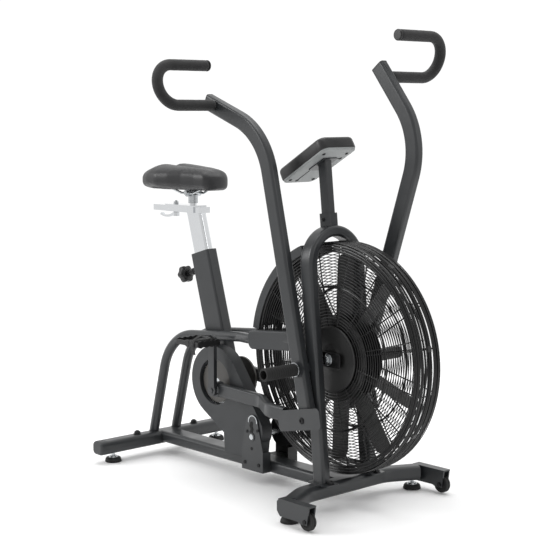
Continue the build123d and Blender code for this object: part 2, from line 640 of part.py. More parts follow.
TOWER_T = 3
STAND = {"right": "jack_tower", "left": "jack_stand"}
TOWER_Y = {"right": CASE_OUT + 0.5, "left": 70}   # the left one stands outside the pulley
TOWER_TOP = {"right": 202, "left": 176}
for side, tag in SIDES:
    with BuildPart() as tower:
        face_y, top_at = TOWER_Y[tag], TOWER_TOP[tag]
        with BuildSketch(side_plane(side, face_y)):
            with BuildLine():
                Polyline((JACK_X - 44, STAB_TOP - BEAM_H + 4), (JACK_X - 44, 100),
                         (JACK_X - 24, top_at - 12), (JACK_X - 14, top_at), (JACK_X + 14, top_at),
                         (JACK_X + 24, top_at - 12), (JACK_X + 48, 100),
                         (JACK_X + 48, STAB_TOP - BEAM_H + 4), close=True)
            make_face()
            with Locations((JACK_X, JACK_Z)):
                Circle(13, mode=Mode.SUBTRACT)
        extrude(amount=-side * TOWER_T)
        with BuildSketch(Plane.YZ.offset(JACK_X + 45)):
            with Locations((side * BEAM_W / 2, STAB_TOP - BEAM_H + 4)):
                Rectangle(face_y - BEAM_W / 2 + 1, 60,
                          align=(Align.MIN if side > 0 else Align.MAX, Align.MIN))
        extrude(amount=TOWER_T)
        with BuildSketch(side_plane(side, BEAM_W / 2)):
            with Locations((JACK_X, STAB_TOP - 14)):
                Rectangle(80, 22)
        extrude(amount=-side * (face_y - BEAM_W / 2))
        add(chain_case.part, mode=Mode.SUBTRACT)
    keep(tower, STAND[tag])

    with BuildPart() as bearing:
        with BuildSketch(side_plane(side, TOWER_Y[tag])):
            with Locations((JACK_X, JACK_Z)):
                Circle(13)
                Circle(8 + RUN, mode=Mode.SUBTRACT)
        extrude(amount=-side * 5)
    keep(bearing, STAND[tag])

with BuildPart() as tower_bolts:
    for dx, z, r in ((-20, 165, 4.5), (20, 165, 4.5), (-30, 60, 6), (30, 60, 6)):
        with BuildSketch(side_plane(-1, CASE_OUT + 0.5 + TOWER_T)):
            with Locations((JACK_X + dx, z)):
                RegularPolygon(r, 6)
        extrude(amount=3)
keep(tower_bolts, "frame_bolts")

# ======================= crank =======================
AXLE_HALF, DISC_T = 52, 6.5
with BuildPart() as crank_axle:
    with BuildSketch(Plane.XZ.offset(-AXLE_HALF)):
        with Locations((CRANK_X, CRANK_Z)):
            Circle(10)
    extrude(amount=2 * AXLE_HALF)
    with BuildSketch(side_plane(-1, 34)):
        with Locations((CRANK_X, CRANK_Z)):
            Circle(SPROCKET_R)
    extrude(amount=8)
save(crank_axle, "crank_axle")

for side, tag in SIDES:
    px, pz = PIN_REST[tag]
    up = 1 if tag == "right" else -1
    with BuildPart() as disc:
        with BuildSketch(side_plane(side, AXLE_HALF - DISC_T)):
            with Locations((CRANK_X, CRANK_Z)):
                Circle(DISC_R)
                Circle(10, mode=Mode.SUBTRACT)
        extrude(amount=-side * DISC_T)
    keep(disc, "crank_discs")

    with BuildPart() as pin:
        with BuildSketch(side_plane(side, AXLE_HALF)):
            with Locations((px, pz)):
                Circle(PIN_D / 2)
        extrude(amount=-side * (PEDAL_ARM_Y - AXLE_HALF + 1))

    sx, sz = px, pz + up * PEDAL_RISE
    with BuildPart() as pedal_arm:
        with BuildSketch(side_plane(side, PEDAL_ARM_Y)):
            with Locations((px, pz)):
                Circle(17)
            with Locations((px, pz + up * PEDAL_RISE / 2)):
                Rectangle(26, PEDAL_RISE)
            with Locations((px, pz + up * PEDAL_RISE)):
                Circle(14)
        extrude(amount=-side * PEDAL_ARM_T)
        with BuildSketch(side_plane(side, PEDAL_ARM_Y + PEDAL_ARM_T)):
            with Locations((px, pz)):
                RegularPolygon(9, 6)
        extrude(amount=-side * 3)
        chamfer(pedal_arm.faces().sort_by(Axis.Y)[0 if side < 0 else -1].edges(), 1)
        add(pin.part)
        with BuildSketch(side_plane(side, PEDAL_ARM_Y + 1)):
            with Locations((sx, sz)):
                Circle(6)
        extrude(amount=-side * (PEDAL_ARM_T + PEDAL_W - 5))
    keep(pedal_arm, "crank_arms")

    with BuildPart() as pedal:
        y0 = PEDAL_ARM_Y + PEDAL_ARM_T + 4
        y1 = y0 + PEDAL_W
        with BuildSketch(side_plane(side, y0)):
            with Locations((sx, sz)):
                Circle(11)
                Circle(6 + RUN, mode=Mode.SUBTRACT)
        extrude(amount=-side * (y1 - y0 - 4))
        with BuildSketch(Plane.XY.offset(sz - 10)):
            with Locations((sx, side * (y0 + y1) / 2)):
                RectangleRounded(PEDAL_L, PEDAL_W, 8)
                with Locations((-PEDAL_L / 4 - 1, 0), (PEDAL_L / 4 + 1, 0)):
                    Rectangle(PEDAL_L / 2 - 18, PEDAL_W - 14, mode=Mode.SUBTRACT)
        extrude(amount=20)
        with BuildSketch(side_plane(side, y0 - 1)):
            with Locations((sx, sz)):
                Circle(6 + RUN)
        extrude(amount=-side * (y1 - y0 - 3), mode=Mode.SUBTRACT)
    save(pedal, f"pedal_{tag}")

# ======================= links and arms =======================
PLATE_IN = LINK_OUT_Y + LINK_W / 2           # link's end plate, inner face
for side, tag in SIDES:
    (px, pz), (ex, ez) = PIN_REST[tag], END_REST[tag]
    along = atan2(ez - pz, ex - px)
    LINK = Plane(origin=(px, 0, pz), x_dir=(cos(along), 0, sin(along)), z_dir=(-sin(along), 0, cos(along)))
    with BuildPart() as link:
        with BuildLine(LINK) as path:
            FilletPolyline((18, side * LINK_Y), (LINK_LEN - 240, side * LINK_Y),
                           (LINK_LEN - 150, side * LINK_OUT_Y),
                           (LINK_LEN - 82, side * LINK_OUT_Y), radius=70)
        with BuildSketch(Plane(path.line @ 0, x_dir=LINK.z_dir, z_dir=path.line % 0)):
            RectangleRounded(LINK_H, LINK_W, 7)
            RectangleRounded(LINK_H - 5, LINK_W - 5, 4.5, mode=Mode.SUBTRACT)
        sweep()
        with BuildSketch(side_plane(side, LINK_Y - LINK_W / 2)):
            with Locations((px, pz)):
                Circle(23)
        extrude(amount=-side * LINK_W)
        with BuildSketch(side_plane(side, LINK_Y - LINK_W / 2 - 1)):
            with Locations((px, pz)):
                Circle(12)
        extrude(amount=-side * (LINK_W + 2), mode=Mode.SUBTRACT)
        with BuildSketch(Plane(origin=(px, side * PLATE_IN, pz), x_dir=LINK.x_dir, z_dir=(0, side, 0))):
            with Locations((LINK_LEN - 12, 0)):
                RectangleRounded(PLATE_L, PLATE_H, 12, rotation=-side * PLATE_TILT)
        extrude(amount=5)
    save(link, f"link_{tag}")

    with BuildPart() as bush:
        with BuildSketch(side_plane(side, LINK_Y - LINK_W / 2 - 1)):
            with Locations((px, pz)):
                Circle(12)
                Circle(PIN_D / 2 + RUN, mode=Mode.SUBTRACT)
        extrude(amount=-side * (LINK_W + 2))
    keep(bush, f"link_hardware_{tag}")

    with BuildPart() as link_bolt:
        for y, r, t, n in ((PLATE_IN + 5, 11, 1.5, 0), (PLATE_IN + 6.5, 8.5, 5, 6), (PLATE_IN - 5, 12, 5, 0)):
            with BuildSketch(side_plane(side, y)):
                with Locations((ex, ez)):
                    Circle(r) if n == 0 else RegularPolygon(r, n)
            extrude(amount=-side * t)
    keep(link_bolt, f"link_hardware_{tag}")

LOWER_DIR = (-sin(radians(ARM_LEAN)), cos(radians(ARM_LEAN)))
UPPER_DIR = (-sin(radians(ARM_TOP_LEAN)), cos(radians(ARM_TOP_LEAN)))
GRIP_DIR = (-sin(radians(GRIP_LEAN)), cos(radians(GRIP_LEAN)))


def away(point, direction, distance):
    return (point[0] + direction[0] * distance, point[1] + direction[1] * distance)


for side, tag in SIDES:
    lean = ARM_REST[tag]

    def at(point):
        """A point of the right arm's rest outline, turned to this arm's rest angle."""
        return tilt(point, PIVOT, lean)

    foot = away(ARM_CORNER, LOWER_DIR, -(ARM_CORNER[1] - 282) / LOWER_DIR[1])
    top = away(ARM_CORNER, UPPER_DIR, 247)
    with BuildPart() as arm:
        with BuildLine(side_plane(side, ARM_IN + ARM_W / 2)) as path:
            FilletPolyline(at(foot), at(ARM_CORNER), at(top), radius=ARM_BEND_R)
        with BuildSketch(Plane(path.line @ 0, x_dir=(0, 1, 0), z_dir=path.line % 0)):
            RectangleRounded(ARM_W, ARM_D, 8)
            RectangleRounded(ARM_W - 5, ARM_D - 5, 5.5, mode=Mode.SUBTRACT)
        sweep()
        # Bearing tube welded through at the pivot.
        for y, r, t in ((ARM_IN - 2, 18, ARM_W + 12), (ARM_IN + ARM_W, 22, 10)):
            with BuildSketch(side_plane(side, y)):
                with Locations(PIVOT):
                    Circle(r)
            extrude(amount=-side * t)
        with BuildSketch(side_plane(side, ARM_IN - 3)):
            with Locations(PIVOT):
                Circle(10 + RUN)
        extrude(amount=-side * (ARM_W + 20), mode=Mode.SUBTRACT)
        # Flat tongue at the foot, with the eye for the link's bolt.
        eye, shoulder = END_REST[tag], at(away(foot, LOWER_DIR, 6))
        middle = ((eye[0] + shoulder[0]) / 2, (eye[1] + shoulder[1]) / 2)
        with BuildSketch(side_plane(side, ARM_IN)):
            with Locations(eye):
                Circle(21)
            with Locations(middle):
                Rectangle(hypot(shoulder[0] - eye[0], shoulder[1] - eye[1]), 40,
                          rotation=degrees(atan2(shoulder[1] - eye[1], shoulder[0] - eye[0])))
            with Locations(eye):
                Circle(8, mode=Mode.SUBTRACT)
        extrude(amount=-side * 11)

    with BuildPart() as arm_cap:
        end_point, end_before = at(top), at(away(top, UPPER_DIR, -1))
        end_dir = (end_point[0] - end_before[0], 0, end_point[1] - end_before[1])
        with BuildSketch(Plane(origin=(end_point[0], side * (ARM_IN + ARM_W / 2), end_point[1]),
                               x_dir=(0, 1, 0), z_dir=end_dir)):
            RectangleRounded(ARM_W, ARM_D, 8)
        extrude(amount=4)
    keep(arm_cap, f"arm_caps_{tag}")

    low = at(GRIP_BAR)
    high = at(away(GRIP_BAR, GRIP_DIR, GRIP_RISE))
    rise = Plane(origin=(low[0], 0, low[1]), x_dir=(0, 1, 0),
                 z_dir=(-(high[1] - low[1]), 0, high[0] - low[0]))
    if rise.y_dir.Z < 0:
        rise = Plane(origin=rise.origin, x_dir=(0, 1, 0), z_dir=-rise.z_dir)
    for name, r_out, r_in, y0, y1 in (
            ("grip_bar", BAR_R, BAR_R - 2, GRIP_Y0, GRIP_TIP + 2),
            ("grip_foam", FOAM_R, BAR_R, 141, GRIP_TIP)):
        with BuildPart() as grip:
            with BuildLine(rise) as path:
                Line((side * y0, 0), (side * GRIP_Y1, 0))
                ThreePointArc((side * GRIP_Y1, 0), (side * (GRIP_Y1 + GRIP_RISE / 2), GRIP_RISE / 2),
                              (side * GRIP_Y1, GRIP_RISE))
                Line((side * GRIP_Y1, GRIP_RISE), (side * y1, GRIP_RISE))
            with BuildSketch(Plane(path.line @ 0, z_dir=path.line % 0)):
                Circle(r_out)
                Circle(r_in, mode=Mode.SUBTRACT)
            sweep()
        if name == "grip_bar":
            bar = grip
        else:
            save(grip, f"{name}_{tag}")
    with BuildPart() as whole_arm:
        add(arm.part)
        add(bar.part)
    save(whole_arm, f"arm_{tag}")
    with BuildPart() as grip_cap:
        with BuildSketch(Plane(origin=(high[0], side * GRIP_TIP, high[1]), x_dir=(1, 0, 0),
                               z_dir=(0, -side, 0))):
            Circle(FOAM_R)
        extrude(amount=6)
        fillet(grip_cap.faces().sort_by(Axis.Y)[-1 if side < 0 else 0].edges(), 4)
    keep(grip_cap, f"arm_caps_{tag}")

    with BuildPart() as peg_axle:
        with BuildSketch(side_plane(side, FORK_Y + FORK_TUBE[0] / 2)):
            with Locations(PIVOT):
                Circle(10)
        extrude(amount=-side * (PEG_Y1 - 36 - FORK_Y - FORK_TUBE[0] / 2))
    keep(peg_axle, "axles")

    with BuildPart() as peg:
        with BuildSketch(side_plane(side, PEG_Y0)):
            with Locations(PIVOT):
                Circle(PEG_R)
                Circle(10, mode=Mode.SUBTRACT)
        extrude(amount=-side * (PEG_Y1 - PEG_Y0))
        with BuildSketch(side_plane(side, PEG_Y1 - 34)):
            with Locations(PIVOT):
                Circle(PEG_BORE)
        extrude(amount=-side * 34, mode=Mode.SUBTRACT)
    keep(peg, "foot_pegs")

# ======================= fan, cage and drive =======================
FAN = (FAN_X, FAN_Z)
PULLEY_Y = (BELT_Y - BELT_W / 2 - 1.5, BELT_Y + BELT_W / 2 + 1.5)   # fan pulley's faces
with BuildPart() as fan_hub:
    with BuildSketch(Plane.XZ.offset(-FAN_HALF)):
        with Locations(FAN):
            Circle(34)
            Circle(8 + RUN, mode=Mode.SUBTRACT)
    extrude(amount=2 * FAN_HALF)
    for y in (-FAN_HALF, FAN_HALF - 2):
        with BuildSketch(Plane.XZ.offset(y)):
            with Locations(FAN):
                Circle(FAN_DISC_R)
                Circle(33, mode=Mode.SUBTRACT)
        extrude(amount=2)
    # The hub runs out through the left cap to the driven pulley.
    for y0, y1, r in ((FAN_HALF, PULLEY_Y[0], 14), (*PULLEY_Y, FAN_PULLEY_R)):
        with BuildSketch(side_plane(1, y0)):
            with Locations(FAN):
                Circle(r)
                Circle(8 + RUN, mode=Mode.SUBTRACT)
        extrude(amount=-(y1 - y0))
save(fan_hub, "fan_hub")

with BuildPart() as blades:
    with BuildSketch(Plane.XZ.offset(-FAN_HALF + 2)):
        with Locations(FAN):
            with PolarLocations((34 + FAN_R) / 2, BLADES, start_angle=BLADE_START):
                Rectangle(FAN_R - 34 - 0.2, 2.4)
    extrude(amount=2 * FAN_HALF - 4)
save(blades, "fan_blades")

with BuildPart() as fan_axle:
    with BuildSketch(Plane.XZ.offset(-72)):
        with Locations(FAN):
            Circle(8)
    extrude(amount=144)
keep(fan_axle, "axles")

RINGS, RING_W, SPOKES = 8, 3.4, 12
LEG_IN = FORK_Y - FORK_TUBE[0] / 2
PLATE_Y = {"right": CAGE_NOSE + 4.5, "left": LEG_IN - 6}   # fan axle plates
for side, tag in SIDES:
    with BuildPart() as cage:
        # Rings on the face, on the shoulder and round the rim, tied by radial spokes.
        rings = [(r, CAGE_HALF + 5 - 5 * max(0, (r - 200) / (CAGE_R - 200)) ** 2)
                 for r in [98 + (CAGE_R - 108) * i / (RINGS - 1) for i in range(RINGS)]]
        for r, y in rings:
            with BuildSketch(side_plane(side, y - RING_W)):
                with Locations(FAN):
                    Circle(r + RING_W / 2)
                    Circle(r - RING_W / 2, mode=Mode.SUBTRACT)
            extrude(amount=-side * RING_W)
        for y in (1, 19, 35):
            with BuildSketch(side_plane(side, y)):
                with Locations(FAN):
                    Circle(CAGE_R)
                    Circle(CAGE_R - RING_W, mode=Mode.SUBTRACT)
            extrude(amount=-side * RING_W)
        with BuildSketch(side_plane(side, 1)):
            with Locations(FAN):
                with PolarLocations(CAGE_R - RING_W - 1, SPOKES):
                    Rectangle(RING_W, RING_W)
        extrude(amount=-side * 39)
        with BuildSketch(side_plane(side, CAGE_HALF - 4)):
            with Locations(FAN):
                with PolarLocations((92 + CAGE_R - 1) / 2, SPOKES):
                    Rectangle(CAGE_R - 1 - 92, RING_W)
        extrude(amount=-side * 7)
        with BuildSketch(side_plane(side, CAGE_HALF - 1)):
            with Locations(FAN):
                Circle(97)
                Circle(88, mode=Mode.SUBTRACT)
        extrude(amount=-side * 6)
    save(cage, f"cage_{tag}")

    with BuildPart() as hub_cap:
        with BuildSketch(side_plane(side, CAGE_NOSE - 4)):
            with Locations(FAN):
                Circle(CAGE_CAP_R)
                Circle(20, mode=Mode.SUBTRACT)
        extrude(amount=-side * 4)
        add(cage.part, mode=Mode.SUBTRACT)
    keep(hub_cap, "cage_caps")

    with BuildPart() as dropout:
        with BuildSketch(side_plane(side, PLATE_Y[tag])):
            with Locations((FAN_X + 2, FAN_Z)):
                RectangleRounded(88, 42, 8)
            with Locations(FAN):
                Circle(8, mode=Mode.SUBTRACT)
        extrude(amount=-side * 6)
        if LEG_IN - PLATE_Y[tag] > 6:
            with BuildSketch(side_plane(side, PLATE_Y[tag] + 6)):
                with Locations((fork_x(FAN_Z) - 12, FAN_Z)):
                    RectangleRounded(22, 34, 3)
            extrude(amount=-side * (LEG_IN - PLATE_Y[tag] - 6))
    keep(dropout, "frame_bolts")

    with BuildPart() as axle_nut:
        y, out = (PLATE_Y[tag] + 6, 1) if tag == "right" else (PLATE_Y[tag], -1)
        for start, r, t, n in ((0, 16, 1.5, 0), (1.5, 13, 2.4 if out < 0 else 8, 6)):
            with BuildSketch(side_plane(side, y + out * start)):
                with Locations(FAN):
                    Circle(r) if n == 0 else RegularPolygon(r, n)
                    Circle(8, mode=Mode.SUBTRACT)
            extrude(amount=-side * t * out)
    keep(axle_nut, "frame_bolts")

FENDER_HALF = 45.5
with BuildPart() as fender:
    # A curved band over the rim, with a flange down each side.
    for y, wide, inner in ((-FENDER_HALF, 2 * FENDER_HALF, CAGE_R + 3), (-FENDER_HALF, 2, CAGE_R - 19),
                           (FENDER_HALF - 2, 2, CAGE_R - 19)):
        with BuildSketch(Plane.XZ.offset(y)):
            with Locations(FAN):
                Circle(CAGE_R + 6)
                Circle(inner, mode=Mode.SUBTRACT)
            with BuildLine():
                Polyline(FAN, away(FAN, (cos(radians(112)), sin(radians(112))), 400),
                         away(FAN, (cos(radians(140)), sin(radians(140))), 420),
                         away(FAN, (cos(radians(171)), sin(radians(171))), 400), close=True)
            make_face(mode=Mode.INTERSECT)
        extrude(amount=wide)
save(fender, "fender")

with BuildPart() as jackshaft:
    with BuildSketch(Plane.XZ.offset(-76)):
        with Locations((JACK_X, JACK_Z)):
            Circle(8)
    extrude(amount=144)
    with BuildSketch(side_plane(-1, 34)):
        with Locations((JACK_X, JACK_Z)):
            Circle(JACK_SPROCKET_R)
    extrude(amount=8)
save(jackshaft, "jackshaft")

with BuildPart() as pulley:
    with BuildSketch(side_plane(1, BELT_Y - BELT_W / 2 - 2)):
        with Locations((JACK_X, JACK_Z)):
            Circle(PULLEY_R)
            Circle(8, mode=Mode.SUBTRACT)
    extrude(amount=-(BELT_W + 4))
save(pulley, "jack_pulley")


def loop(a, b, ra, rb, y, width, thick, name, side):
    """Belt or chain round two wheels."""
    with BuildPart() as band:
        for grow, mode in ((thick, Mode.ADD), (0, Mode.SUBTRACT)):
            with BuildSketch(side_plane(side, y - width / 2)):
                for (x, z), r in ((a, ra), (b, rb)):
                    with Locations((x, z)):
                        Circle(r + 0.2 + grow)
                make_hull()
            extrude(amount=-side * width, mode=mode)
    save(band, name)


loop((JACK_X, JACK_Z), FAN, PULLEY_R, FAN_PULLEY_R, BELT_Y, BELT_W, BELT_T, "fan_belt", 1)

# ======================= console =======================
MAST_LEAN, MAST = 6, (25, 32)
ARCH_TOP_Z = FORK_Z + FORK_LEN * cos(radians(FORK_LEAN)) + 11
MAST_BASE = (fork_x(ARCH_TOP_Z) - 6, ARCH_TOP_Z)
CONSOLE_TILT, CONSOLE = 29.5, (206, 134, 40)   # along, across, thick
CONSOLE_MID = (MAST_BASE[0] - 40, 934)         # middle of its underside
MAST_PLANE = Plane(origin=(MAST_BASE[0], 0, MAST_BASE[1]), x_dir=(0, 1, 0),
                   z_dir=(-sin(radians(MAST_LEAN)), 0, cos(radians(MAST_LEAN))))
CONSOLE_PLANE = Plane(origin=(CONSOLE_MID[0], 0, CONSOLE_MID[1]),
                      x_dir=(cos(radians(CONSOLE_TILT)), 0, sin(radians(CONSOLE_TILT))),
                      z_dir=(-sin(radians(CONSOLE_TILT)), 0, cos(radians(CONSOLE_TILT))))

with BuildPart() as mast_socket:
    with BuildSketch(MAST_PLANE.offset(-14)):
        RectangleRounded(MAST[0] + 9, MAST[1] + 9, 5)
        RectangleRounded(MAST[0], MAST[1], 4, mode=Mode.SUBTRACT)
    extrude(amount=52)
    with BuildSketch(MAST_PLANE.offset(-30)):
        RectangleRounded(FORK_TUBE[0], FORK_TUBE[1], 8)
    extrude(amount=1, mode=Mode.SUBTRACT)
    with BuildLine(FORK_PLANE) as arch_line:
        CenterArc((0, LEG_LEN), FORK_Y, 45, 90)
    with BuildSketch(Plane(arch_line.line @ 0, x_dir=FORK_PLANE.x_dir, z_dir=arch_line.line % 0)):
        RectangleRounded(*FORK_TUBE, 9)
    sweep(mode=Mode.SUBTRACT)
keep(mast_socket, "fork_fittings")

with BuildPart() as mast:
    with BuildSketch(MAST_PLANE.offset(6)):
        RectangleRounded(*MAST, 4)
        RectangleRounded(MAST[0] - 4, MAST[1] - 4, 2, mode=Mode.SUBTRACT)
    extrude(amount=220)
    with BuildSketch(CONSOLE_PLANE.offset(-3)):
        Rectangle(400, 400)
    extrude(amount=200, mode=Mode.SUBTRACT)
    with BuildSketch(CONSOLE_PLANE.offset(-3)):
        with Locations((16, 0)):
            RectangleRounded(70, 56, 6)
    extrude(amount=3)
save(mast, "console_mast")

with BuildPart() as console_back:
    with BuildSketch(CONSOLE_PLANE):
        RectangleRounded(CONSOLE[0], CONSOLE[1], 22)
    extrude(amount=8)
save(console_back, "console_back")

with BuildPart() as console_case:
    with BuildSketch(CONSOLE_PLANE.offset(8)):
        RectangleRounded(CONSOLE[0], CONSOLE[1], 22)
    extrude(amount=CONSOLE[2] - 8)
    fillet(console_case.faces().sort_by(Axis(origin=(0, 0, 0), direction=CONSOLE_PLANE.z_dir))[-1].edges(), 5)
    with BuildSketch(CONSOLE_PLANE.offset(CONSOLE[2])):
        RectangleRounded(CONSOLE[0] - 24, CONSOLE[1] - 24, 12)
    extrude(amount=-2, mode=Mode.SUBTRACT)
save(console_case, "console_case")

with BuildPart() as console_face:
    with BuildSketch(CONSOLE_PLANE.offset(CONSOLE[2] - 2)):
        RectangleRounded(CONSOLE[0] - 24, CONSOLE[1] - 24, 12)
    extrude(amount=1.6)
save(console_face, "console_face")

with BuildPart() as console_screws:
    for x, y in ((-78, -45), (-78, 45), (70, -45), (70, 45)):
        with BuildSketch(CONSOLE_PLANE):
            with Locations((x, y)):
                Circle(4)
        extrude(amount=-2)
keep(console_screws, "frame_bolts")

with BuildPart() as mast_bolts:
    with BuildSketch(Plane.XZ.offset((MAST[0] + 9) / 2)):
        with Locations((MAST_BASE[0] - 2, MAST_BASE[1] + 22)):
            RegularPolygon(6.5, 6)
    extrude(amount=4)
    with BuildSketch(Plane(origin=MAST_PLANE.from_local_coords((0, -(MAST[1] + 9) / 2, 22)), x_dir=(0, 1, 0),
                           z_dir=MAST_PLANE.y_dir * -1)):
        RegularPolygon(6.5, 6)
    extrude(amount=4)
keep(mast_bolts, "frame_bolts")

# ======================= grouped nodes =======================
for name, solids in GROUPS.items():
    group = Compound(solids)
    group.label = name
    export_step(group, f"parts/{name}.step")
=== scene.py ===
"""Looks of the air bike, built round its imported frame. Lengths in the helpers are millimetres."""

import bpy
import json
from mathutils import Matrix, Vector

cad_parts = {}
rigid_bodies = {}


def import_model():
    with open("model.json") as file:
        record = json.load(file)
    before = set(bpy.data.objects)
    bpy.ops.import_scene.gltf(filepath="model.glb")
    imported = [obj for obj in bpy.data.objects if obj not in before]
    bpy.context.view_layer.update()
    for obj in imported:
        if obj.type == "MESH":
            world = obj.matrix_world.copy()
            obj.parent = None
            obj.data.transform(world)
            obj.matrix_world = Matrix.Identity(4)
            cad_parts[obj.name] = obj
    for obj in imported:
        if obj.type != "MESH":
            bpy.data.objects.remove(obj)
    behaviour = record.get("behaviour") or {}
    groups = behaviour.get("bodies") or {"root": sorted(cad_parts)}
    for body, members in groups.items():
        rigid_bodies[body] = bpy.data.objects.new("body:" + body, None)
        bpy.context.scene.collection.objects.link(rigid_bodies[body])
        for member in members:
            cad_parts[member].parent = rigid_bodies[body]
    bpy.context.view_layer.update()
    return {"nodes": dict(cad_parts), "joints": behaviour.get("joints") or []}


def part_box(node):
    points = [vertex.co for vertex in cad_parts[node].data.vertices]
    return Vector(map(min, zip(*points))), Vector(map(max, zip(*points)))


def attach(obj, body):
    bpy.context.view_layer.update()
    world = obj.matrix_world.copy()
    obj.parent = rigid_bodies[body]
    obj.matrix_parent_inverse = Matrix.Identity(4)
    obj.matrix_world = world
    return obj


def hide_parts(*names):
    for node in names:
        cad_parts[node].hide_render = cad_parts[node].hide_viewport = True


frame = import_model()

import json
from math import cos, pi, radians, sin

import bmesh
import bpy
import numpy as np
from bpy.props import FloatProperty, FloatVectorProperty, IntProperty, PointerProperty
from mathutils import Vector, noise

bl_info = {
    "name": "Air bike",
    "version": (1, 0, 0),
    "blender": (4, 5, 0),
    "location": "3D Viewport > Sidebar > Air bike",
    "description": "Builds the visible pieces of a fan-braked exercise bike on its frame",
    "category": "Object",
}

# ---- places taken from the frame, in millimetres ----
JOINTS = {j["name"]: np.array(j.get("pos_m", (0, 0, 0))) * 1000 for j in frame["joints"]}
FAN, CRANK, JACK = JOINTS["fan_spin"], JOINTS["crank_spin"], JOINTS["jackshaft_spin"]
PIVOT, WHEEL = JOINTS["arm_right_swing"], JOINTS["wheel_right_spin"]
SIDES = ((-1, "right"), (1, "left"))
X, Y, Z = np.eye(3)


def box_mm(name):
    """Lowest and highest corner of a frame node, in millimetres."""
    low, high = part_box(name)
    return np.array(low) * 1000, np.array(high) * 1000


def middle(name):
    """Middle of a frame node's box, in millimetres."""
    low, high = box_mm(name)
    return (low + high) / 2


CAGE_R = (box_mm("cage_right")[1][0] - box_mm("cage_right")[0][0]) / 2
CAP_R = 92                      # disc in the middle of the cage
BLADE_START = 88                # angle of the first paddle, in degrees
KNOB_R = 25.4                   # height knob, to the middle of its lobes
SADDLE_VOXEL = 4.0              # mesh size for the saddle's cloth
STAB_TOP = box_mm("main_beam")[1][2]
REAR_X = middle("rear_stabilizer")[0]
PIN_DIR = np.array((-cos(radians(16.3)), 0, -sin(radians(16.3))))
CONSOLE_TILT = radians(29.5)
CONSOLE_X = np.array((cos(CONSOLE_TILT), 0, sin(CONSOLE_TILT)))
CONSOLE_N = np.array((-sin(CONSOLE_TILT), 0, cos(CONSOLE_TILT)))
CONSOLE_AT = middle("console_back") - CONSOLE_N * 4
CONSOLE_SIZE = (206, 134, 40)


def linear(hex_colour):
    """Linear RGBA of an sRGB hex colour."""
    parts = [int(hex_colour[i:i + 2], 16) / 255 for i in (1, 3, 5)]
    return tuple(p / 12.92 if p <= 0.04045 else ((p + 0.055) / 1.055) ** 2.4 for p in parts) + (1.0,)


# ---- sizes and colours a user may change ----
class AirBikeSizes(bpy.types.PropertyGroup):
    """Sizes of the pieces that the frame leaves open, in millimetres."""
    wire: FloatProperty(name="Cage wire", description="Diameter of a ring wire", default=2.5)
    pitch: FloatProperty(name="Ring pitch", description="From one ring wire to the next", default=8.3)
    spokes: IntProperty(name="Cage spokes", description="Radial wires on each cage half", default=16)
    blades: IntProperty(name="Fan blades", description="Paddles round the hub", default=10)
    saddle_groove: FloatProperty(name="Saddle groove", description="Depth of the middle channel",
                                 default=12.0)
    swell: FloatProperty(name="Saddle swell", description="Most that the saddle's skin may rise",
                         default=2.5)
    strap: FloatProperty(name="Strap width", description="Width of a pedal strap", default=13.0)


def colour(name, hex_colour, about):
    """A colour that a user may change."""
    return FloatVectorProperty(name=name, description=about, subtype="COLOR", size=4, min=0, max=1,
                               default=linear(hex_colour))


class AirBikeColours(bpy.types.PropertyGroup):
    """Colours of the finishes."""
    frame_coat: colour("Frame", "#27292b", "Powder coat on the frame and arms")
    moulding: colour("Mouldings", "#2a2c2e", "Chain case, side covers and mudguard")
    cage_coat: colour("Cage", "#0f0f10", "Coat on the cage wires")
    blade_coat: colour("Fan", "#191919", "Coat on the fan blades")
    hard_plastic: colour("Black plastic", "#121213", "Pedals, knob and console case")
    rubber: colour("Rubber", "#101010", "Feet, wheels and pegs")
    foam: colour("Foam", "#161617", "Hand grips")
    cover: colour("Saddle cover", "#1d1d1f", "Synthetic leather of the saddle")
    disc: colour("Crank disc", "#403e3b", "Moulded disc in the chain case")
    console_back: colour("Console underside", "#8d9090", "Pale moulding under the console")
    floor: colour("Floor", "#ffffff", "Studio floor")


# ---- mesh helpers: each returns (vertices, faces) in millimetres ----
def unit(vector):
    vector = np.asarray(vector, float)
    return vector / np.linalg.norm(vector)


def ellipse(a, b=None, steps=12):
    """Section of a round or oval bar."""
    return [(a * cos(2 * pi * i / steps), (b or a) * sin(2 * pi * i / steps)) for i in range(steps)]


def rounded(width, height, radius, steps=4):
    """Rectangle with round corners."""
    points = []
    for quarter, (sx, sy) in enumerate(((1, 1), (-1, 1), (-1, -1), (1, -1))):
        for i in range(steps + 1):
            a = (quarter + i / steps) * pi / 2
            points.append((sx * (width / 2 - radius) + radius * cos(a),
                           sy * (height / 2 - radius) + radius * sin(a)))
    return points


def skin(rings, closed_path=False, caps=True):
    """Quads between equal rings of points, with a face over each end."""
    rings = np.asarray(rings, float)
    count, size = rings.shape[:2]
    faces = []
    for i in range(count if closed_path else count - 1):
        j = (i + 1) % count
        for k in range(size):
            m = (k + 1) % size
            faces.append((i * size + k, i * size + m, j * size + m, j * size + k))
    if caps and not closed_path:
        faces.append(tuple(range(size)))
        faces.append(tuple((count - 1) * size + k for k in range(size)))
    return rings.reshape(-1, 3), faces


def sweep(path, section, closed=False, side=None, scale=None):
    """A section carried along a path without twist; side is its first axis at the start."""
    path = np.asarray(path, float)
    along = np.roll(path, -1, 0) - np.roll(path, 1, 0) if closed else np.gradient(path, axis=0)
    along /= np.linalg.norm(along, axis=1)[:, None]
    across = np.asarray(side if side is not None else np.eye(3)[np.argmin(abs(along[0]))], float)
    rings = []
    for i, point in enumerate(path):
        across = unit(across - along[i] * (across @ along[i]))
        up = np.cross(along[i], across)
        grow = 1 if scale is None else scale[i]
        rings.append([point + grow * (u * across + v * up) for u, v in section])
    return skin(rings, closed)


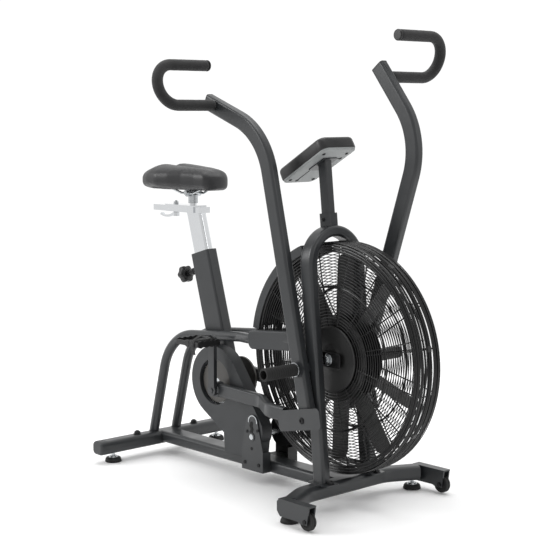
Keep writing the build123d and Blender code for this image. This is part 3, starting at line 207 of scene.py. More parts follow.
def turned(profile, centre, axis=Y, steps=48):
    """A closed profile of (radius, height) points turned round an axis through the centre."""
    axis = unit(axis)
    u = unit(np.cross(axis, X if abs(axis[0]) < 0.9 else Z))
    v = np.cross(axis, u)
    rings = [[np.asarray(centre) + axis * h + r * (cos(a) * u + sin(a) * v) for r, h in profile]
             for a in (2 * pi * i / steps for i in range(steps))]
    return skin(rings, closed_path=True)


def plate(outline, at, u, v, thick, bevel=0.0):
    """An outline in the plane of u and v, made thick along their normal, with bevelled edges."""
    at, u, v = np.asarray(at, float), unit(u), unit(v)
    n = np.cross(u, v)
    flat = np.asarray(outline, float)
    mid = flat.mean(0)
    span = np.abs(flat - mid).max(0)
    inset = mid + (flat - mid) * (1 - bevel / span)
    levels = ((inset, 0), (flat, bevel), (flat, thick - bevel), (inset, thick))
    if bevel == 0:
        levels = ((flat, 0), (flat, thick))
    return skin([[at + a * u + b * v + h * n for a, b in ring] for ring, h in levels])


def block(size, at, u=X, v=Y, bevel=0.6, radius=1.2):
    """A bar with rounded edges, its middle at the point."""
    n = np.cross(unit(u), unit(v))
    return plate(rounded(size[0], size[1], radius, 3), np.asarray(at) - n * size[2] / 2, u, v,
                 size[2], bevel)


def hexagon(across):
    """Six corners of a bolt head, by its width across the flats."""
    return [(across / 1.732 * cos(pi / 3 * i), across / 1.732 * sin(pi / 3 * i)) for i in range(6)]


def screw(at, axis, across, height, washer=0.0, dome=True):
    """Hexagon head with a chamfer, a washer and a domed crown."""
    axis = unit(axis)
    u = unit(np.cross(axis, Y if abs(axis[1]) < 0.9 else X))
    v = np.cross(axis, u)
    at = np.asarray(at, float)
    shapes = []
    if washer:
        r = across * 0.72
        shapes.append(turned([(0, 0), (r, 0), (r, washer * 0.7), (r - 0.6, washer), (0, washer)],
                             at, axis, 24))
    shapes.append(plate(hexagon(across), at + axis * washer, u, v, height, min(0.9, height * 0.25)))
    if dome:
        r = across * 0.42
        top = washer + height
        arc = [(r * cos(a), top - 0.2 + r * 0.55 * sin(a)) for a in np.linspace(0, pi / 2, 6)]
        shapes.append(turned([(0, top - 0.4), (r, top - 0.4)] + arc, at, axis, 20))
    return shapes


def smooth_path(points, steps=10):
    """Catmull-Rom curve through the points."""
    p = np.asarray(points, float)
    p = np.vstack([2 * p[0] - p[1], p, 2 * p[-1] - p[-2]])
    out = []
    for i in range(1, len(p) - 2):
        for t in np.linspace(0, 1, steps, endpoint=False):
            out.append(0.5 * (2 * p[i] + (p[i + 1] - p[i - 1]) * t
                              + (2 * p[i - 1] - 5 * p[i] + 4 * p[i + 1] - p[i + 2]) * t * t
                              + (3 * p[i] - p[i - 1] - 3 * p[i + 1] + p[i + 2]) * t ** 3))
    out.append(p[-2])
    return np.array(out)


def circle_path(centre, r, y, steps=120):
    """Ring of points round the y axis."""
    return [(centre[0] + r * cos(a), y, centre[2] + r * sin(a))
            for a in (2 * pi * i / steps for i in range(steps))]


def piece(name, shapes, material, body, replaces=(), crease=35):
    """One object from several shapes, riding on a body."""
    bm = bmesh.new()
    for points, faces in shapes:
        made = [bm.verts.new(Vector(p) * 0.001) for p in points]
        for face in faces:
            bm.faces.new([made[i] for i in face])
    bmesh.ops.remove_doubles(bm, verts=bm.verts, dist=1e-7)
    bmesh.ops.dissolve_degenerate(bm, edges=bm.edges, dist=1e-7)
    bmesh.ops.recalc_face_normals(bm, faces=bm.faces)
    mesh = bpy.data.meshes.new(name)
    bm.to_mesh(mesh)
    bm.free()
    mesh.shade_smooth()
    mesh.set_sharp_from_angle(angle=radians(crease))
    mesh.materials.append(material)
    made = bpy.data.objects.new(name, mesh)
    bpy.context.scene.collection.objects.link(made)
    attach(made, body)
    if replaces:
        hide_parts(*replaces)
    return made


# ---- materials ----
def node(tree, kind, inputs=(), **settings):
    """Add one node, with its settings and its values or links."""
    made = tree.nodes.new(kind)
    for key, value in settings.items():
        setattr(made, key, value)
    for key, value in dict(inputs).items():
        if isinstance(value, bpy.types.NodeSocket):
            tree.links.new(value, made.inputs[key])
        else:
            made.inputs[key].default_value = value
    return made


def finish_of(name, base, roughness, grain=1.0, depth=0.02, mottle=0.06, patch=60.0, spread=0.06,
              pattern="noise", stretch=(1, 1, 1), **shader):
    """A finish: base colour with slow mottling, and a bump whose grain and depth are millimetres."""
    made = bpy.data.materials.new(name)
    made.use_nodes = True
    made.diffuse_color = base
    tree = made.node_tree
    tree.nodes.clear()
    place = node(tree, "ShaderNodeTexCoord").outputs["Object"]
    drawn = node(tree, "ShaderNodeMapping", {"Vector": place, "Scale": stretch}).outputs["Vector"]
    slow = node(tree, "ShaderNodeTexNoise", {"Vector": place, "Scale": 1000 / patch, "Detail": 3.0})
    dark = tuple(c * (1 - mottle * 2) for c in base[:3]) + (1,)
    light = tuple(min(1, c * (1 + mottle * 2)) for c in base[:3]) + (1,)
    tint = node(tree, "ShaderNodeMix", {"Factor": slow.outputs["Fac"], 6: dark, 7: light},
                data_type="RGBA")
    if pattern == "noise":
        fine = node(tree, "ShaderNodeTexNoise", {"Vector": drawn, "Scale": 1000 / grain, "Detail": 2.0})
        height = fine.outputs["Fac"]
    elif pattern == "cells":
        fine = node(tree, "ShaderNodeTexVoronoi", {"Vector": drawn, "Scale": 1000 / grain},
                    feature="SMOOTH_F1")
        height = fine.outputs["Distance"]
    else:
        fine = node(tree, "ShaderNodeTexWave", {"Vector": drawn, "Scale": 1000 / grain / 2,
                                                "Distortion": 0.0}, bands_direction=pattern)
        height = fine.outputs["Fac"]
    bump = node(tree, "ShaderNodeBump", {"Height": height, "Strength": 1.0, "Distance": depth / 1000})
    gloss = node(tree, "ShaderNodeMapRange", {"Value": slow.outputs["Fac"], "From Min": 0.3,
                                              "From Max": 0.7, "To Min": roughness - spread,
                                              "To Max": roughness + spread})
    values = {"Base Color": tint.outputs[2], "Roughness": gloss.outputs[0],
              "Normal": bump.outputs["Normal"], **shader}
    surface = node(tree, "ShaderNodeBsdfPrincipled", values)
    node(tree, "ShaderNodeOutputMaterial", {"Surface": surface.outputs["BSDF"]})
    return made


MATERIALS = {}


def make_materials(c):
    """Every finish of the bike, kept by name."""
    m = MATERIALS
    # Satin powder coat on steel: a slate grey with fine orange peel and soft, wide highlights.
    m["powder_coat"] = finish_of("powder_coated_steel", c.frame_coat, 0.36, grain=2.2, depth=0.035,
                                 mottle=0.03, **{"Specular IOR Level": 0.5, "Coat Weight": 0.12,
                                                 "Coat Roughness": 0.3})
    # Injection-moulded ABS, spark-eroded texture: matt, with an even fine grain.
    m["moulded_abs"] = finish_of("moulded_abs", c.moulding, 0.47, grain=1.3, depth=0.04, mottle=0.02)
    # Dip-coated steel wire: black, with a soft shine along each wire.
    m["coated_wire"] = finish_of("coated_wire", c.cage_coat, 0.34, grain=3.0, depth=0.02, mottle=0.15,
                                 patch=25)
    # E-coated sheet steel of the fan: flat black with faint waviness from pressing.
    m["coated_sheet"] = finish_of("coated_sheet", c.blade_coat, 0.46, grain=14, depth=0.1, mottle=0.08)
    # Textured black ABS: a dull face that catches light only at its edges.
    m["black_abs"] = finish_of("black_abs", c.hard_plastic, 0.42, grain=1.0, depth=0.04)
    # Moulded natural rubber: matt, slightly dusty.
    m["rubber"] = finish_of("moulded_rubber", c.rubber, 0.68, grain=1.6, depth=0.06, mottle=0.15,
                            patch=20)
    # Closed-cell foam: small open pores on a matt skin.
    m["foam"] = finish_of("nbr_foam", c.foam, 0.78, grain=1.5, depth=0.18, mottle=0.1, patch=18,
                          pattern="cells", **{"Sheen Weight": 0.12, "Sheen Roughness": 0.5})
    # Synthetic leather: a pebbled grain, drawn at 1.8 mm so that it shows, with a soft sheen.
    m["synthetic_leather"] = finish_of("synthetic_leather", c.cover, 0.44, grain=1.8, depth=0.14,
                                       mottle=0.06, pattern="cells",
                                       **{"Coat Weight": 0.1, "Coat Roughness": 0.4})
    # Glass-filled nylon: grey brown, with a fine grain from the mould.
    m["nylon_disc"] = finish_of("filled_nylon", c.disc, 0.40, grain=4, depth=0.03, mottle=0.05)
    # Pale injection-moulded ABS: even and matt, without shine.
    m["pale_abs"] = finish_of("pale_moulded_abs", c.console_back, 0.5, grain=1.2, depth=0.03,
                              mottle=0.02)
    # Bright zinc plate: cool silver with blotchy gloss.
    m["zinc_plate"] = finish_of("zinc_plate", linear("#b9bcbe"), 0.28, grain=2.5, depth=0.02,
                                mottle=0.06, patch=9, spread=0.08, Metallic=1.0)
    # Chrome plate over brushed steel: near mirror, with faint lines along the bar.
    m["chrome"] = finish_of("chrome_plate", linear("#dfe1e3"), 0.13, grain=2.0, depth=0.006,
                            mottle=0.01, spread=0.03, stretch=(1, 1, 0.05), Metallic=1.0)
    # Black oxide on bolts: oily near-black metal.
    m["black_oxide"] = finish_of("black_oxide_steel", linear("#2a2a2b"), 0.36, grain=1.5, depth=0.03,
                                 mottle=0.15, patch=8, Metallic=0.8)
    # Polyurethane belt: dark with ribs across, 3 mm apart.
    m["belt_rubber"] = finish_of("ribbed_belt", linear("#131312"), 0.6, grain=3.0, depth=0.3,
                                 pattern="Z")
    # Woven nylon webbing: ribs across the strap at 1.4 mm.
    m["webbing"] = finish_of("nylon_webbing", linear("#0e0e0f"), 0.7, grain=1.4, depth=0.25,
                             pattern="X", **{"Sheen Weight": 0.1})
    # Smoked acrylic over the display: deep and glossy.
    m["acrylic"] = finish_of("smoked_acrylic", linear("#0b0c0d"), 0.12, grain=40, depth=0.02,
                             spread=0.03, **{"Coat Weight": 0.6, "Coat Roughness": 0.05})
    # Reflective display: flat grey green.
    m["lcd"] = finish_of("lcd_glass", linear("#7e8a7c"), 0.25, grain=30, depth=0.005, mottle=0.02)
    # Ink on the keys: dull pale grey.
    m["key_ink"] = finish_of("key_ink", linear("#b4b6b5"), 0.5, grain=1, depth=0.01, mottle=0.03)
    # Painted shade: near black standing in for the shade inside recesses, seams, slots and bores; also
    # the ink of the printed rules on the display.
    m["shadow_gap"] = finish_of("recess_black", linear("#060606"), 0.8, grain=2, depth=0.02)


FRAME_FINISH = {
    "powder_coat": ("rear_stabilizer", "front_stabilizer", "main_beam", "wheel_brackets",
                    "fork_leg_right", "fork_leg_left", "fork_arch", "fork_fittings", "stay_right",
                    "stay_left", "seat_tube", "jack_tower", "console_mast", "link_right",
                    "link_left", "arm_right", "arm_left", "crank_arms"),
    "moulded_abs": ("frame_trim", "chain_case", "fender"),
    "black_abs": ("seat_sleeve", "saddle_base", "arm_caps_right", "arm_caps_left", "jack_pulley"),
    "zinc_plate": ("foot_studs", "seat_clamp", "axles", "jackshaft", "crank_axle",
                   "pop_pin", "saddle_rails"),
    "chrome": ("seat_post", "seat_carriage", "clamp_lever"),
    "coated_sheet": ("fan_hub", "jack_stand"),
    "nylon_disc": ("crank_discs",),
    "belt_rubber": ("fan_belt",),
}


class Builder:
    """Shared parts of the operators."""
    bl_options = {"REGISTER", "UNDO"}

    def execute(self, context):
        self.build(context.scene.air_bike_sizes, context.scene.air_bike_colours)
        return {"FINISHED"}


class AIRBIKE_OT_finishes(Builder, bpy.types.Operator):
    """Make the finishes and put them on the frame's own nodes"""
    bl_idname = "airbike.finishes"
    bl_label = "Frame finishes"

    def build(self, sizes, colours):
        make_materials(type("C", (), {k: tuple(getattr(colours, k))
                                      for k in AirBikeColours.__annotations__}))
        for finish, names in FRAME_FINISH.items():
            for name in names:
                mesh = frame["nodes"][name].data
                mesh.materials.clear()
                mesh.materials.append(MATERIALS[finish])


class AIRBIKE_OT_cage(Builder, bpy.types.Operator):
    """Build both halves of the wire cage, their hub discs and the rim clips"""
    bl_idname = "airbike.cage"
    bl_label = "Fan cage"

    def build(self, sizes, colours):
        wire = sizes.wire / 2
        face_r, rim_r = 303.0, CAGE_R - wire
        flat = np.linspace(CAP_R - 4, face_r, 80)
        corner = np.linspace(0, pi / 2, 16)[1:]
        wall = np.linspace(34, 2, 24)[1:]
        radii = np.concatenate([flat, face_r + (rim_r - face_r) * np.sin(corner),
                                np.full(len(wall), rim_r)])
        depths = np.concatenate([44.2 - 3 * ((flat - 88) / 215) ** 2, 34 + 7.2 * np.cos(corner),
                                 wall])
        run = np.concatenate([[0], np.cumsum(np.hypot(np.diff(radii), np.diff(depths)))])
        rings = int((run[-1] - 10) / sizes.pitch)
        stations = [10 + (run[-1] - 12) * i / rings for i in range(rings + 1)]
        for side, tag in SIDES:
            shapes = []
            for s in stations:
                r, y = np.interp(s, run, radii), np.interp(s, run, depths)
                shapes.append(sweep(circle_path(FAN, r, side * y), ellipse(wire, steps=6), True, Y))
            for r, y in ((CAGE_R - 4, 3.4), (CAGE_R - 4, 18), (CAGE_R - 4, 30), (CAGE_R - 8, 37.4),
                         (face_r + 4, 39), (face_r - 4, 38.6), (200, 39.6)):
                shapes.append(sweep(circle_path(FAN, r, side * y), ellipse(2.9, steps=8), True, Y))
            slope = np.gradient(np.stack([radii, depths], 1), axis=0)
            slope /= np.linalg.norm(slope, axis=1)[:, None]
            outward = np.stack([-slope[:, 1], slope[:, 0]], 1)
            inner = np.stack([radii, depths], 1) - outward * (wire + 1.6)
            for i in range(sizes.spokes):
                a = 2 * pi * (i + 0.5) / sizes.spokes
                path = [(FAN[0] + r * cos(a), side * max(y, 1.5), FAN[2] + r * sin(a))
                        for r, y in inner[::4]]
                shapes.append(sweep(path, ellipse(1.9, steps=6), side=Y))
            piece(f"cage_wires_{tag}", shapes, MATERIALS["coated_wire"], "frame",
                  (f"cage_{tag}",))
        clips = []
        for i in range(8):
            a = 2 * pi * (i + 0.25) / 8
            out, round_ = np.array((cos(a), 0, sin(a))), np.array((-sin(a), 0, cos(a)))
            at = np.array((FAN[0], 0, FAN[2])) + out * (CAGE_R - 4)
            clips.append(block((16, 15, 7), at, round_, Y, 0.8, 2))
        piece("cage_rim_clips", clips, MATERIALS["coated_wire"], "frame")
        caps = []
        for side, tag in SIDES:
            profile = [(20, 45), (CAP_R, 45), (CAP_R, 47.2), (CAP_R - 0.8, 48.4), (CAP_R - 2.5, 49),
                       (CAP_R - 5, 48.6), (CAP_R - 8, 47.4), (46, 46.6), (38, 47), (34, 48.6),
                       (32, 49), (20, 49)]
            caps.append(turned([(r, side * y) for r, y in profile], FAN * (1, 0, 1), Y, 72))
        piece("cage_discs", caps, MATERIALS["coated_sheet"], "frame", ("cage_caps",))


class AIRBIKE_OT_fan(Builder, bpy.types.Operator):
    """Build the fan's paddles with their riveted feet"""
    bl_idname = "airbike.fan"
    bl_label = "Fan"

    def build(self, sizes, colours):
        shapes = []
        for i in range(sizes.blades):
            a = radians(BLADE_START) + 2 * pi * i / sizes.blades
            out, round_ = np.array((cos(a), 0, sin(a))), np.array((-sin(a), 0, cos(a)))
            outline = [(34.5, -30.8), (270, -30.8), (282, -28), (288, -19), (288, 19), (282, 28),
                       (270, 30.8), (34.5, 30.8)]
            shapes.append(plate(outline, FAN * (1, 0, 1) - round_ * 1, out, Y, 2.0))
            for side in (-1, 1):
                foot = FAN * (1, 0, 1) + out * 80 + round_ * 7.5 + Y * side * 30.1
                shapes.append(block((52, 13, 1.6), foot, out, round_, 0.3, 3))
                for r in (64, 96):
                    dome = [(0, 0), (3.4, 0), (2.8, 1.1), (1.4, 1.7), (0, 1.9)]
                    at = FAN * (1, 0, 1) + out * r + round_ * 8 + Y * side * 33
                    shapes.append(turned(dome, at, Y * side, 12))
        piece("fan_paddles", shapes, MATERIALS["coated_sheet"], "fan", ("fan_blades",))


class AIRBIKE_OT_saddle(Builder, bpy.types.Operator):
    """Build the padded saddle: wide rear, short nose, a channel down the middle"""
    bl_idname = "airbike.saddle"
    bl_label = "Saddle"

    def build(self, sizes, colours):
        low, high = box_mm("saddle")
        inset = 3.0
        x0, x1 = low[0] + inset, high[0] - inset
        half = (high[1] - low[1]) / 2 - inset
        steps, around = 56, 48
        rings = []
        for i in range(steps + 1):
            t = (1 - cos(pi * i / steps)) / 2          # 0 at the rear edge, 1 at the nose
            x = x0 + (x1 - x0) * t
            rear = min(1.0, t / 0.1) ** 0.5
            waist = np.interp(t, [0, 0.08, 0.2, 0.35, 0.5, 0.64, 0.8, 0.9, 1],
                              [0.78, 0.88, 0.97, 1, 0.87, 0.68, 0.54, 0.49, 0.46])
            nose = max(0.0, 1 - (max(0.0, t - 0.9) / 0.1) ** 2.6) ** 0.5
            w = max(1.5, half * rear * waist * nose)
            top = high[2] - 3 - np.interp(t, [0, 0.1, 0.25, 0.5, 0.75, 0.92, 1],
                                          [34, 12, 1, 6, 10, 15, 34])
            base = low[2] + 0.4 + np.interp(t, [0, 0.06, 0.2, 0.95, 1], [8, 1, 0, 0, 6])
            mid, tall = (top + base) / 2, max(2.0, (top - base) / 2)
            groove = sizes.saddle_groove * np.interp(t, [0, 0.06, 0.2, 0.6, 0.85, 1],
                                                     [0.6, 1, 1, 0.85, 0.3, 0])
            ring = []
            for k in range(around):
                a = 2 * pi * k / around
                ca, sa = cos(a), sin(a)
                y = w * np.sign(ca) * abs(ca) ** (0.72 if sa > 0 else 0.45)
                z = mid + tall * np.sign(sa) * abs(sa) ** (0.62 if sa > 0 else 0.5)
                if sa > 0:
                    z -= groove * np.exp(-(y / 17) ** 2) * sa ** 0.5
                    z -= 9 * (abs(y) / half) ** 2.6 * (1 - t)
                ring.append((x, y, z))
            rings.append(ring)
        saddle = piece("saddle_cushion", [skin(rings)], MATERIALS["synthetic_leather"], "seat_slider",
                       ("saddle",), 60)
        swell(saddle, SADDLE_VOXEL, sizes.swell)
        relax_to_box(saddle, low, high)


def swell(soft, voxel, cap):
    """Inflate a closed skin a little with cloth, so that it crowns like stuffed leather."""
    mesh = soft.data
    remesh = soft.modifiers.new("remesh", "REMESH")
    remesh.mode = "VOXEL"
    remesh.voxel_size = voxel / 1000
    graph = bpy.context.evaluated_depsgraph_get()
    even = bpy.data.meshes.new_from_object(soft.evaluated_get(graph))
    soft.modifiers.clear()
    soft.data = even
    before = np.zeros(len(even.vertices) * 3)
    even.vertices.foreach_get("co", before)
    cloth = soft.modifiers.new("cloth", "CLOTH")
    cloth.settings.use_pressure = True
    cloth.settings.uniform_pressure_force = 4
    cloth.settings.effector_weights.gravity = 0
    cloth.settings.tension_stiffness = 25
    cloth.settings.compression_stiffness = 25
    cloth.point_cache.frame_start, cloth.point_cache.frame_end = 1, 20
    scene = bpy.context.scene
    for number in range(1, 21):
        scene.frame_set(number)
    graph = bpy.context.evaluated_depsgraph_get()
    swollen = bpy.data.meshes.new_from_object(soft.evaluated_get(graph))
    after = np.zeros(len(swollen.vertices) * 3)
    swollen.vertices.foreach_get("co", after)
    soft.modifiers.clear()
    scene.frame_set(1)
    move = (after - before).reshape(-1, 3)
    far = np.linalg.norm(move, axis=1)
    limit = cap / 1000
    move *= (limit * np.tanh(far / limit) / np.maximum(far, 1e-9))[:, None]
    swollen.vertices.foreach_set("co", (before.reshape(-1, 3) + move).ravel())
    soft.data = swollen
    bpy.data.meshes.remove(mesh)
    fine = soft.modifiers.new("fine", "SUBSURF")
    fine.levels = fine.render_levels = 1
    graph = bpy.context.evaluated_depsgraph_get()
    soft.data = bpy.data.meshes.new_from_object(soft.evaluated_get(graph))
    soft.modifiers.clear()
    soft.data.shade_smooth()


def relax_to_box(soft, low, high):
    """Keep a soft piece inside the space that its frame solid holds."""
    for vertex in soft.data.vertices:
        for i in range(3):
            vertex.co[i] = min(max(vertex.co[i], low[i] / 1000), high[i] / 1000)
    soft.data.update()


class AIRBIKE_OT_grips(Builder, bpy.types.Operator):
    """Build the foam sleeves of both C-shaped hand grips"""
    bl_idname = "airbike.grips"
    bl_label = "Foam grips"

    def build(self, sizes, colours):
        for side, tag in SIDES:
            low, high = box_mm(f"grip_foam_{tag}")
            r = 16.0
            ahead = tag == "right"
            lower = np.array((high[0] - r if ahead else low[0] + r, 0, low[2] + r))
            upper = np.array((low[0] + r if ahead else high[0] - r, 0, high[2] - r))
            half = np.linalg.norm(upper - lower) / 2
            centre, up = (lower + upper) / 2, unit(upper - lower)
            bend = max(abs(low[1]), abs(high[1])) - r - half
            path = [lower + Y * side * y for y in np.linspace(141.6, bend, 26)]
            path += [centre + Y * side * (bend + half * cos(a)) + up * half * sin(a)
                     for a in np.linspace(-pi / 2, pi / 2, 34)[1:-1]]
            path += [upper + Y * side * y for y in np.linspace(bend, 138.6, 30)]
            path = np.array(path)
            run = np.concatenate([[0], np.cumsum(np.linalg.norm(np.diff(path, axis=0), axis=1))])
            ends = np.minimum(run, run[-1] - run)
            scale = []
            for s, e in zip(run, ends):
                lip = 1 - 0.16 * max(0.0, 1 - e / 3.0) ** 2
                scale.append(lip * (0.985 + 0.012 * noise.noise((s / 17, side * 3.1, 0.5))))
            shapes = [sweep(path, ellipse(r, steps=32), side=X, scale=scale)]
            made = piece(f"foam_sleeve_{tag}", shapes, MATERIALS["foam"], f"arm_{tag}",
                         (f"grip_foam_{tag}",), 50)


class AIRBIKE_OT_pedals(Builder, bpy.types.Operator):
    """Build both caged pedals with their toe straps"""
    bl_idname = "airbike.pedals"
    bl_label = "Pedals"

    def build(self, sizes, colours):
        for side, tag in SIDES:
            at = JOINTS[f"pedal_{tag}_spin"] * (1, 0, 1)
            low, high = sorted(abs(v[1]) for v in box_mm(f"pedal_{tag}"))
            mid, width = (low + high) / 2, high - low
            shapes = []
            barrel = [(6.1, low), (10.5, low), (11, low + 2), (11, low + 7), (8.6, low + 12),
                      (8.2, mid), (8.6, high - 12), (10.4, high - 8), (10.4, high - 1.5), (9, high),
                      (0, high), (0, high - 3.2), (6.1, high - 3.2)]
            shapes.append(turned([(r, side * y) for r, y in barrel], at, Y, 32))
            teeth = []
            for i in range(9):
                y = low + 3 + (width - 6) * i / 8
                teeth += [(y, 10.8 if i % 2 else 7.4)]
            outline = teeth + [(y, -z) for y, z in reversed(teeth)]
            for end in (-1, 1):
                shapes.append(plate([(side * y, z) for y, z in outline], at + X * (end * 49.5 - 1.2),
                                    Y, Z, 2.4))
                shapes.append(block((width - 10, 9, 3), at + X * end * 19 + Y * side * mid, Y, Z))
                y = side * (low + 3.5 if end < 0 else high - 3.5)
                shapes.append(block((98, 14, 4), at + Y * y, X, Z, 0.8, 3))
                for dx in (-34, 34):
                    shapes.append(block((28, 5, 3), at + X * dx + Y * side * (mid + end * 14), X, Z))
            pedal = piece(f"pedal_body_{tag}", shapes, MATERIALS["black_abs"], f"pedal_{tag}",
                          (f"pedal_{tag}",), 30)
            # The strap passes under the barrel, over the toes, and its end hangs free.
            y0, y1 = low + 7, high - 4
            loop = smooth_path([(0, y1 - 6, -9.5), (0, mid, -11.5), (0, y0 + 6, -9.5), (0, y0 - 1, -2),
                                (0, y0 + 2, 9), (0, y0 + 18, 18.5), (0, mid, 22), (0, y1 - 16, 19),
                                (0, y1, 9), (1, y1 + 5.5, -2), (2, y1 + 4, -15), (3, y1 + 1, -30)], 8)
            points = np.array([at + (x + 27, side * y, z) for x, y, z in loop])
            strap = sweep(points, rounded(1.7, sizes.strap, 0.6, 2), side=Z)
            buckle = block((18, 10, 4.5), at + X * 27 + Y * side * (y1 + 1.5) + Z * 6, X, Z, 0.8, 2)
            made = piece(f"toe_strap_{tag}", [strap, buckle], MATERIALS["webbing"], f"pedal_{tag}",
                         (), 40)
            made.parent = pedal.parent


class AIRBIKE_OT_knob(Builder, bpy.types.Operator):
    """Build the lobed knob of the seat height pin and its collar"""
    bl_idname = "airbike.knob"
    bl_label = "Height knob"

    def build(self, sizes, colours):
        centre = middle("knob")
        u, v = Y, np.cross(PIN_DIR, Y)
        levels = ((0.0, -12), (0.62, -12), (0.66, -11), (0.90, -9.5), (0.98, -7), (1.0, -2),
                  (1.0, 6), (0.97, 9), (0.90, 11), (0.78, 12), (0.60, 12), (0.56, 10.8), (0.0, 10.8))
        rings = []
        for share, h in levels:
            ring = []
            for k in range(96):
                a = 2 * pi * k / 96
                lobe = 1 + 0.085 * cos(6 * a) * (share > 0.7)
                r = KNOB_R * share * lobe
                ring.append(centre + PIN_DIR * h + r * (cos(a) * u + sin(a) * v))
            rings.append(ring)
        piece("height_knob", [skin(rings, caps=False)], MATERIALS["black_abs"], "pop_pin",
              ("knob",))
        root = centre - PIN_DIR * 63
        collar = [(5.1, -3), (10.8, -3), (10.8, 0.4), (9.4, 1), (9.4, 16), (10.8, 17), (10.8, 30),
                  (9.4, 31), (9.4, 47), (8.6, 49), (5.1, 49)]
        piece("pin_collar", [turned(collar, root, PIN_DIR, 36)], MATERIALS["black_oxide"], "frame")


class AIRBIKE_OT_console(Builder, bpy.types.Operator):
    """Build the console: case, pale underside with screws, display and keys"""
    bl_idname = "airbike.console"
    bl_label = "Console"

    def build(self, sizes, colours):
        long, wide, thick = CONSOLE_SIZE

        def at(x, y, h):
            return CONSOLE_AT + CONSOLE_X * x + Y * y + CONSOLE_N * h

        def level(length, width, radius, h, taper=0.0):
            """Rounded outline, slightly narrower at the rider's end."""
            return [at(x, y * (1 - taper * (0.5 - x / long)), h)
                    for x, y in rounded(length, width, radius, 8)]

        rings = [level(long - cut, wide - cut, r, h, 0.05) for cut, r, h in (
            (9, 20, 5.2), (5, 22, 5.6), (1, 22, 7.5), (0, 22, 11), (1, 22, 31), (4, 21, 35.5),
            (10, 19, 38.4), (18, 15, 39.4), (22, 13, 39.4), (23, 12, 38.2))]
        piece("console_shell", [skin(rings)], MATERIALS["black_abs"], "frame",
              ("console_case",), 50)
        under = [level(long - 14, wide - 14, 16, 0.2, 0.05), level(long - 7, wide - 7, 19, 1.2, 0.05),
                 level(long - 5, wide - 5, 20, 3.2, 0.05), level(long - 5, wide - 5, 20, 5.4, 0.05)]
        piece("console_underside", [skin(under)], MATERIALS["pale_abs"], "frame",
              ("console_back",), 50)
        # Painted shade: a near-black band in the seam between shell and underside, dark strips in the
        # slots and dark discs in the screw wells stand in for the shade inside them.
        seam = [level(long - 8, wide - 8, 19, h, 0.05) for h in (5.0, 6.0)]
        dark = [skin(seam)]
        for length, width, x, y in ((74, 3.6, -44, -16), (3.6, 36, 44, 22)):
            dark.append(block((length, width, 0.8), at(x, y, 0.1), CONSOLE_X, Y, 0.2, 1.2))
        for x, y in ((-84, -16), (44, 44), (-80, -44), (-80, 44), (72, -44), (72, 44)):
            dark.append(turned([(0, 0), (5.2, 0), (5.2, 0.6), (0, 0.6)], at(x, y, 0.2), -CONSOLE_N, 20))
        piece("console_recesses", dark, MATERIALS["shadow_gap"], "frame")
        lens = [level(long - cut, wide - cut, r, h, 0.05)
                for cut, r, h in ((25, 11, 37.4), (25, 11, 38.6), (27, 10, 39.0))]
        piece("console_lens", [skin(lens)], MATERIALS["acrylic"], "frame",
              ("console_face",), 40)
        display = [block((64, 82, 0.5), at(34, 0, 39.1), CONSOLE_X, Y, 0.1, 3)]
        piece("console_display", display, MATERIALS["lcd"], "frame")
        rows = [block((62, 0.7, 0.3), at(34, y, 39.35), CONSOLE_X, Y, 0.05, 0.2) for y in (-14, 14)]
        rows += [block((0.7, 80, 0.3), at(x, 0, 39.35), CONSOLE_X, Y, 0.05, 0.2) for x in (24, 46)]
        piece("display_rules", rows, MATERIALS["shadow_gap"], "frame")
        keys, marks = [], []
        for i in range(3):
            for j in range(2):
                x, y = -22 - 26 * j, (i - 1) * 32
                keys.append(block((15, 24, 1.2), at(x, y, 39.0), CONSOLE_X, Y, 0.4, 5))
                marks.append(turned([(1.6, 0), (2.4, 0), (2.4, 0.25), (1.6, 0.25)], at(x, y, 39.6),
                                    CONSOLE_N, 20))
        piece("console_keys", keys, MATERIALS["black_abs"], "frame")
        piece("key_marks", marks, MATERIALS["key_ink"], "frame")


class AIRBIKE_OT_pegs(Builder, bpy.types.Operator):
    """Build the ribbed foot pegs and their steel rings"""
    bl_idname = "airbike.pegs"
    bl_label = "Foot pegs"

    def build(self, sizes, colours):
        sleeves, rings, bore_shades = [], [], []
        for side, tag in SIDES:
            profile = [(10.1, 154), (17, 154), (17.8, 155)]
            for i in range(12):
                y = 158 + i * 8.2
                profile += [(17.8, y), (17.2, y + 1.0), (17.2, y + 2.0), (17.8, y + 3.0)]
            profile += [(17.8, 262), (17.4, 265), (16.4, 266), (13.0, 266), (12.2, 265.2), (12.2, 233),
                        (10.1, 232)]
            sleeves.append(turned([(r, side * y) for r, y in profile], PIVOT * (1, 0, 1), Y, 40))
            ring = [(10.1, 151.9), (19.3, 151.9), (19.8, 152.6), (19.8, 153.6), (19.3, 154.2),
                    (10.1, 154.2)]
            rings.append(turned([(r, side * y) for r, y in ring], PIVOT * (1, 0, 1), Y, 40))
            # Painted shade: a near-black disc at the bottom of each peg's open end stands in for the
            # shade inside the bore.
            bore_shades.append(turned([(0, side * 230.2), (12.1, side * 230.2), (12.1, side * 233.4),
                                 (0, side * 233.4)], PIVOT * (1, 0, 1), Y, 32))
        piece("peg_sleeves", sleeves, MATERIALS["rubber"], "frame", ("foot_pegs",), 30)
        piece("peg_rings", rings, MATERIALS["zinc_plate"], "frame")
        piece("peg_plugs", bore_shades, MATERIALS["shadow_gap"], "frame")


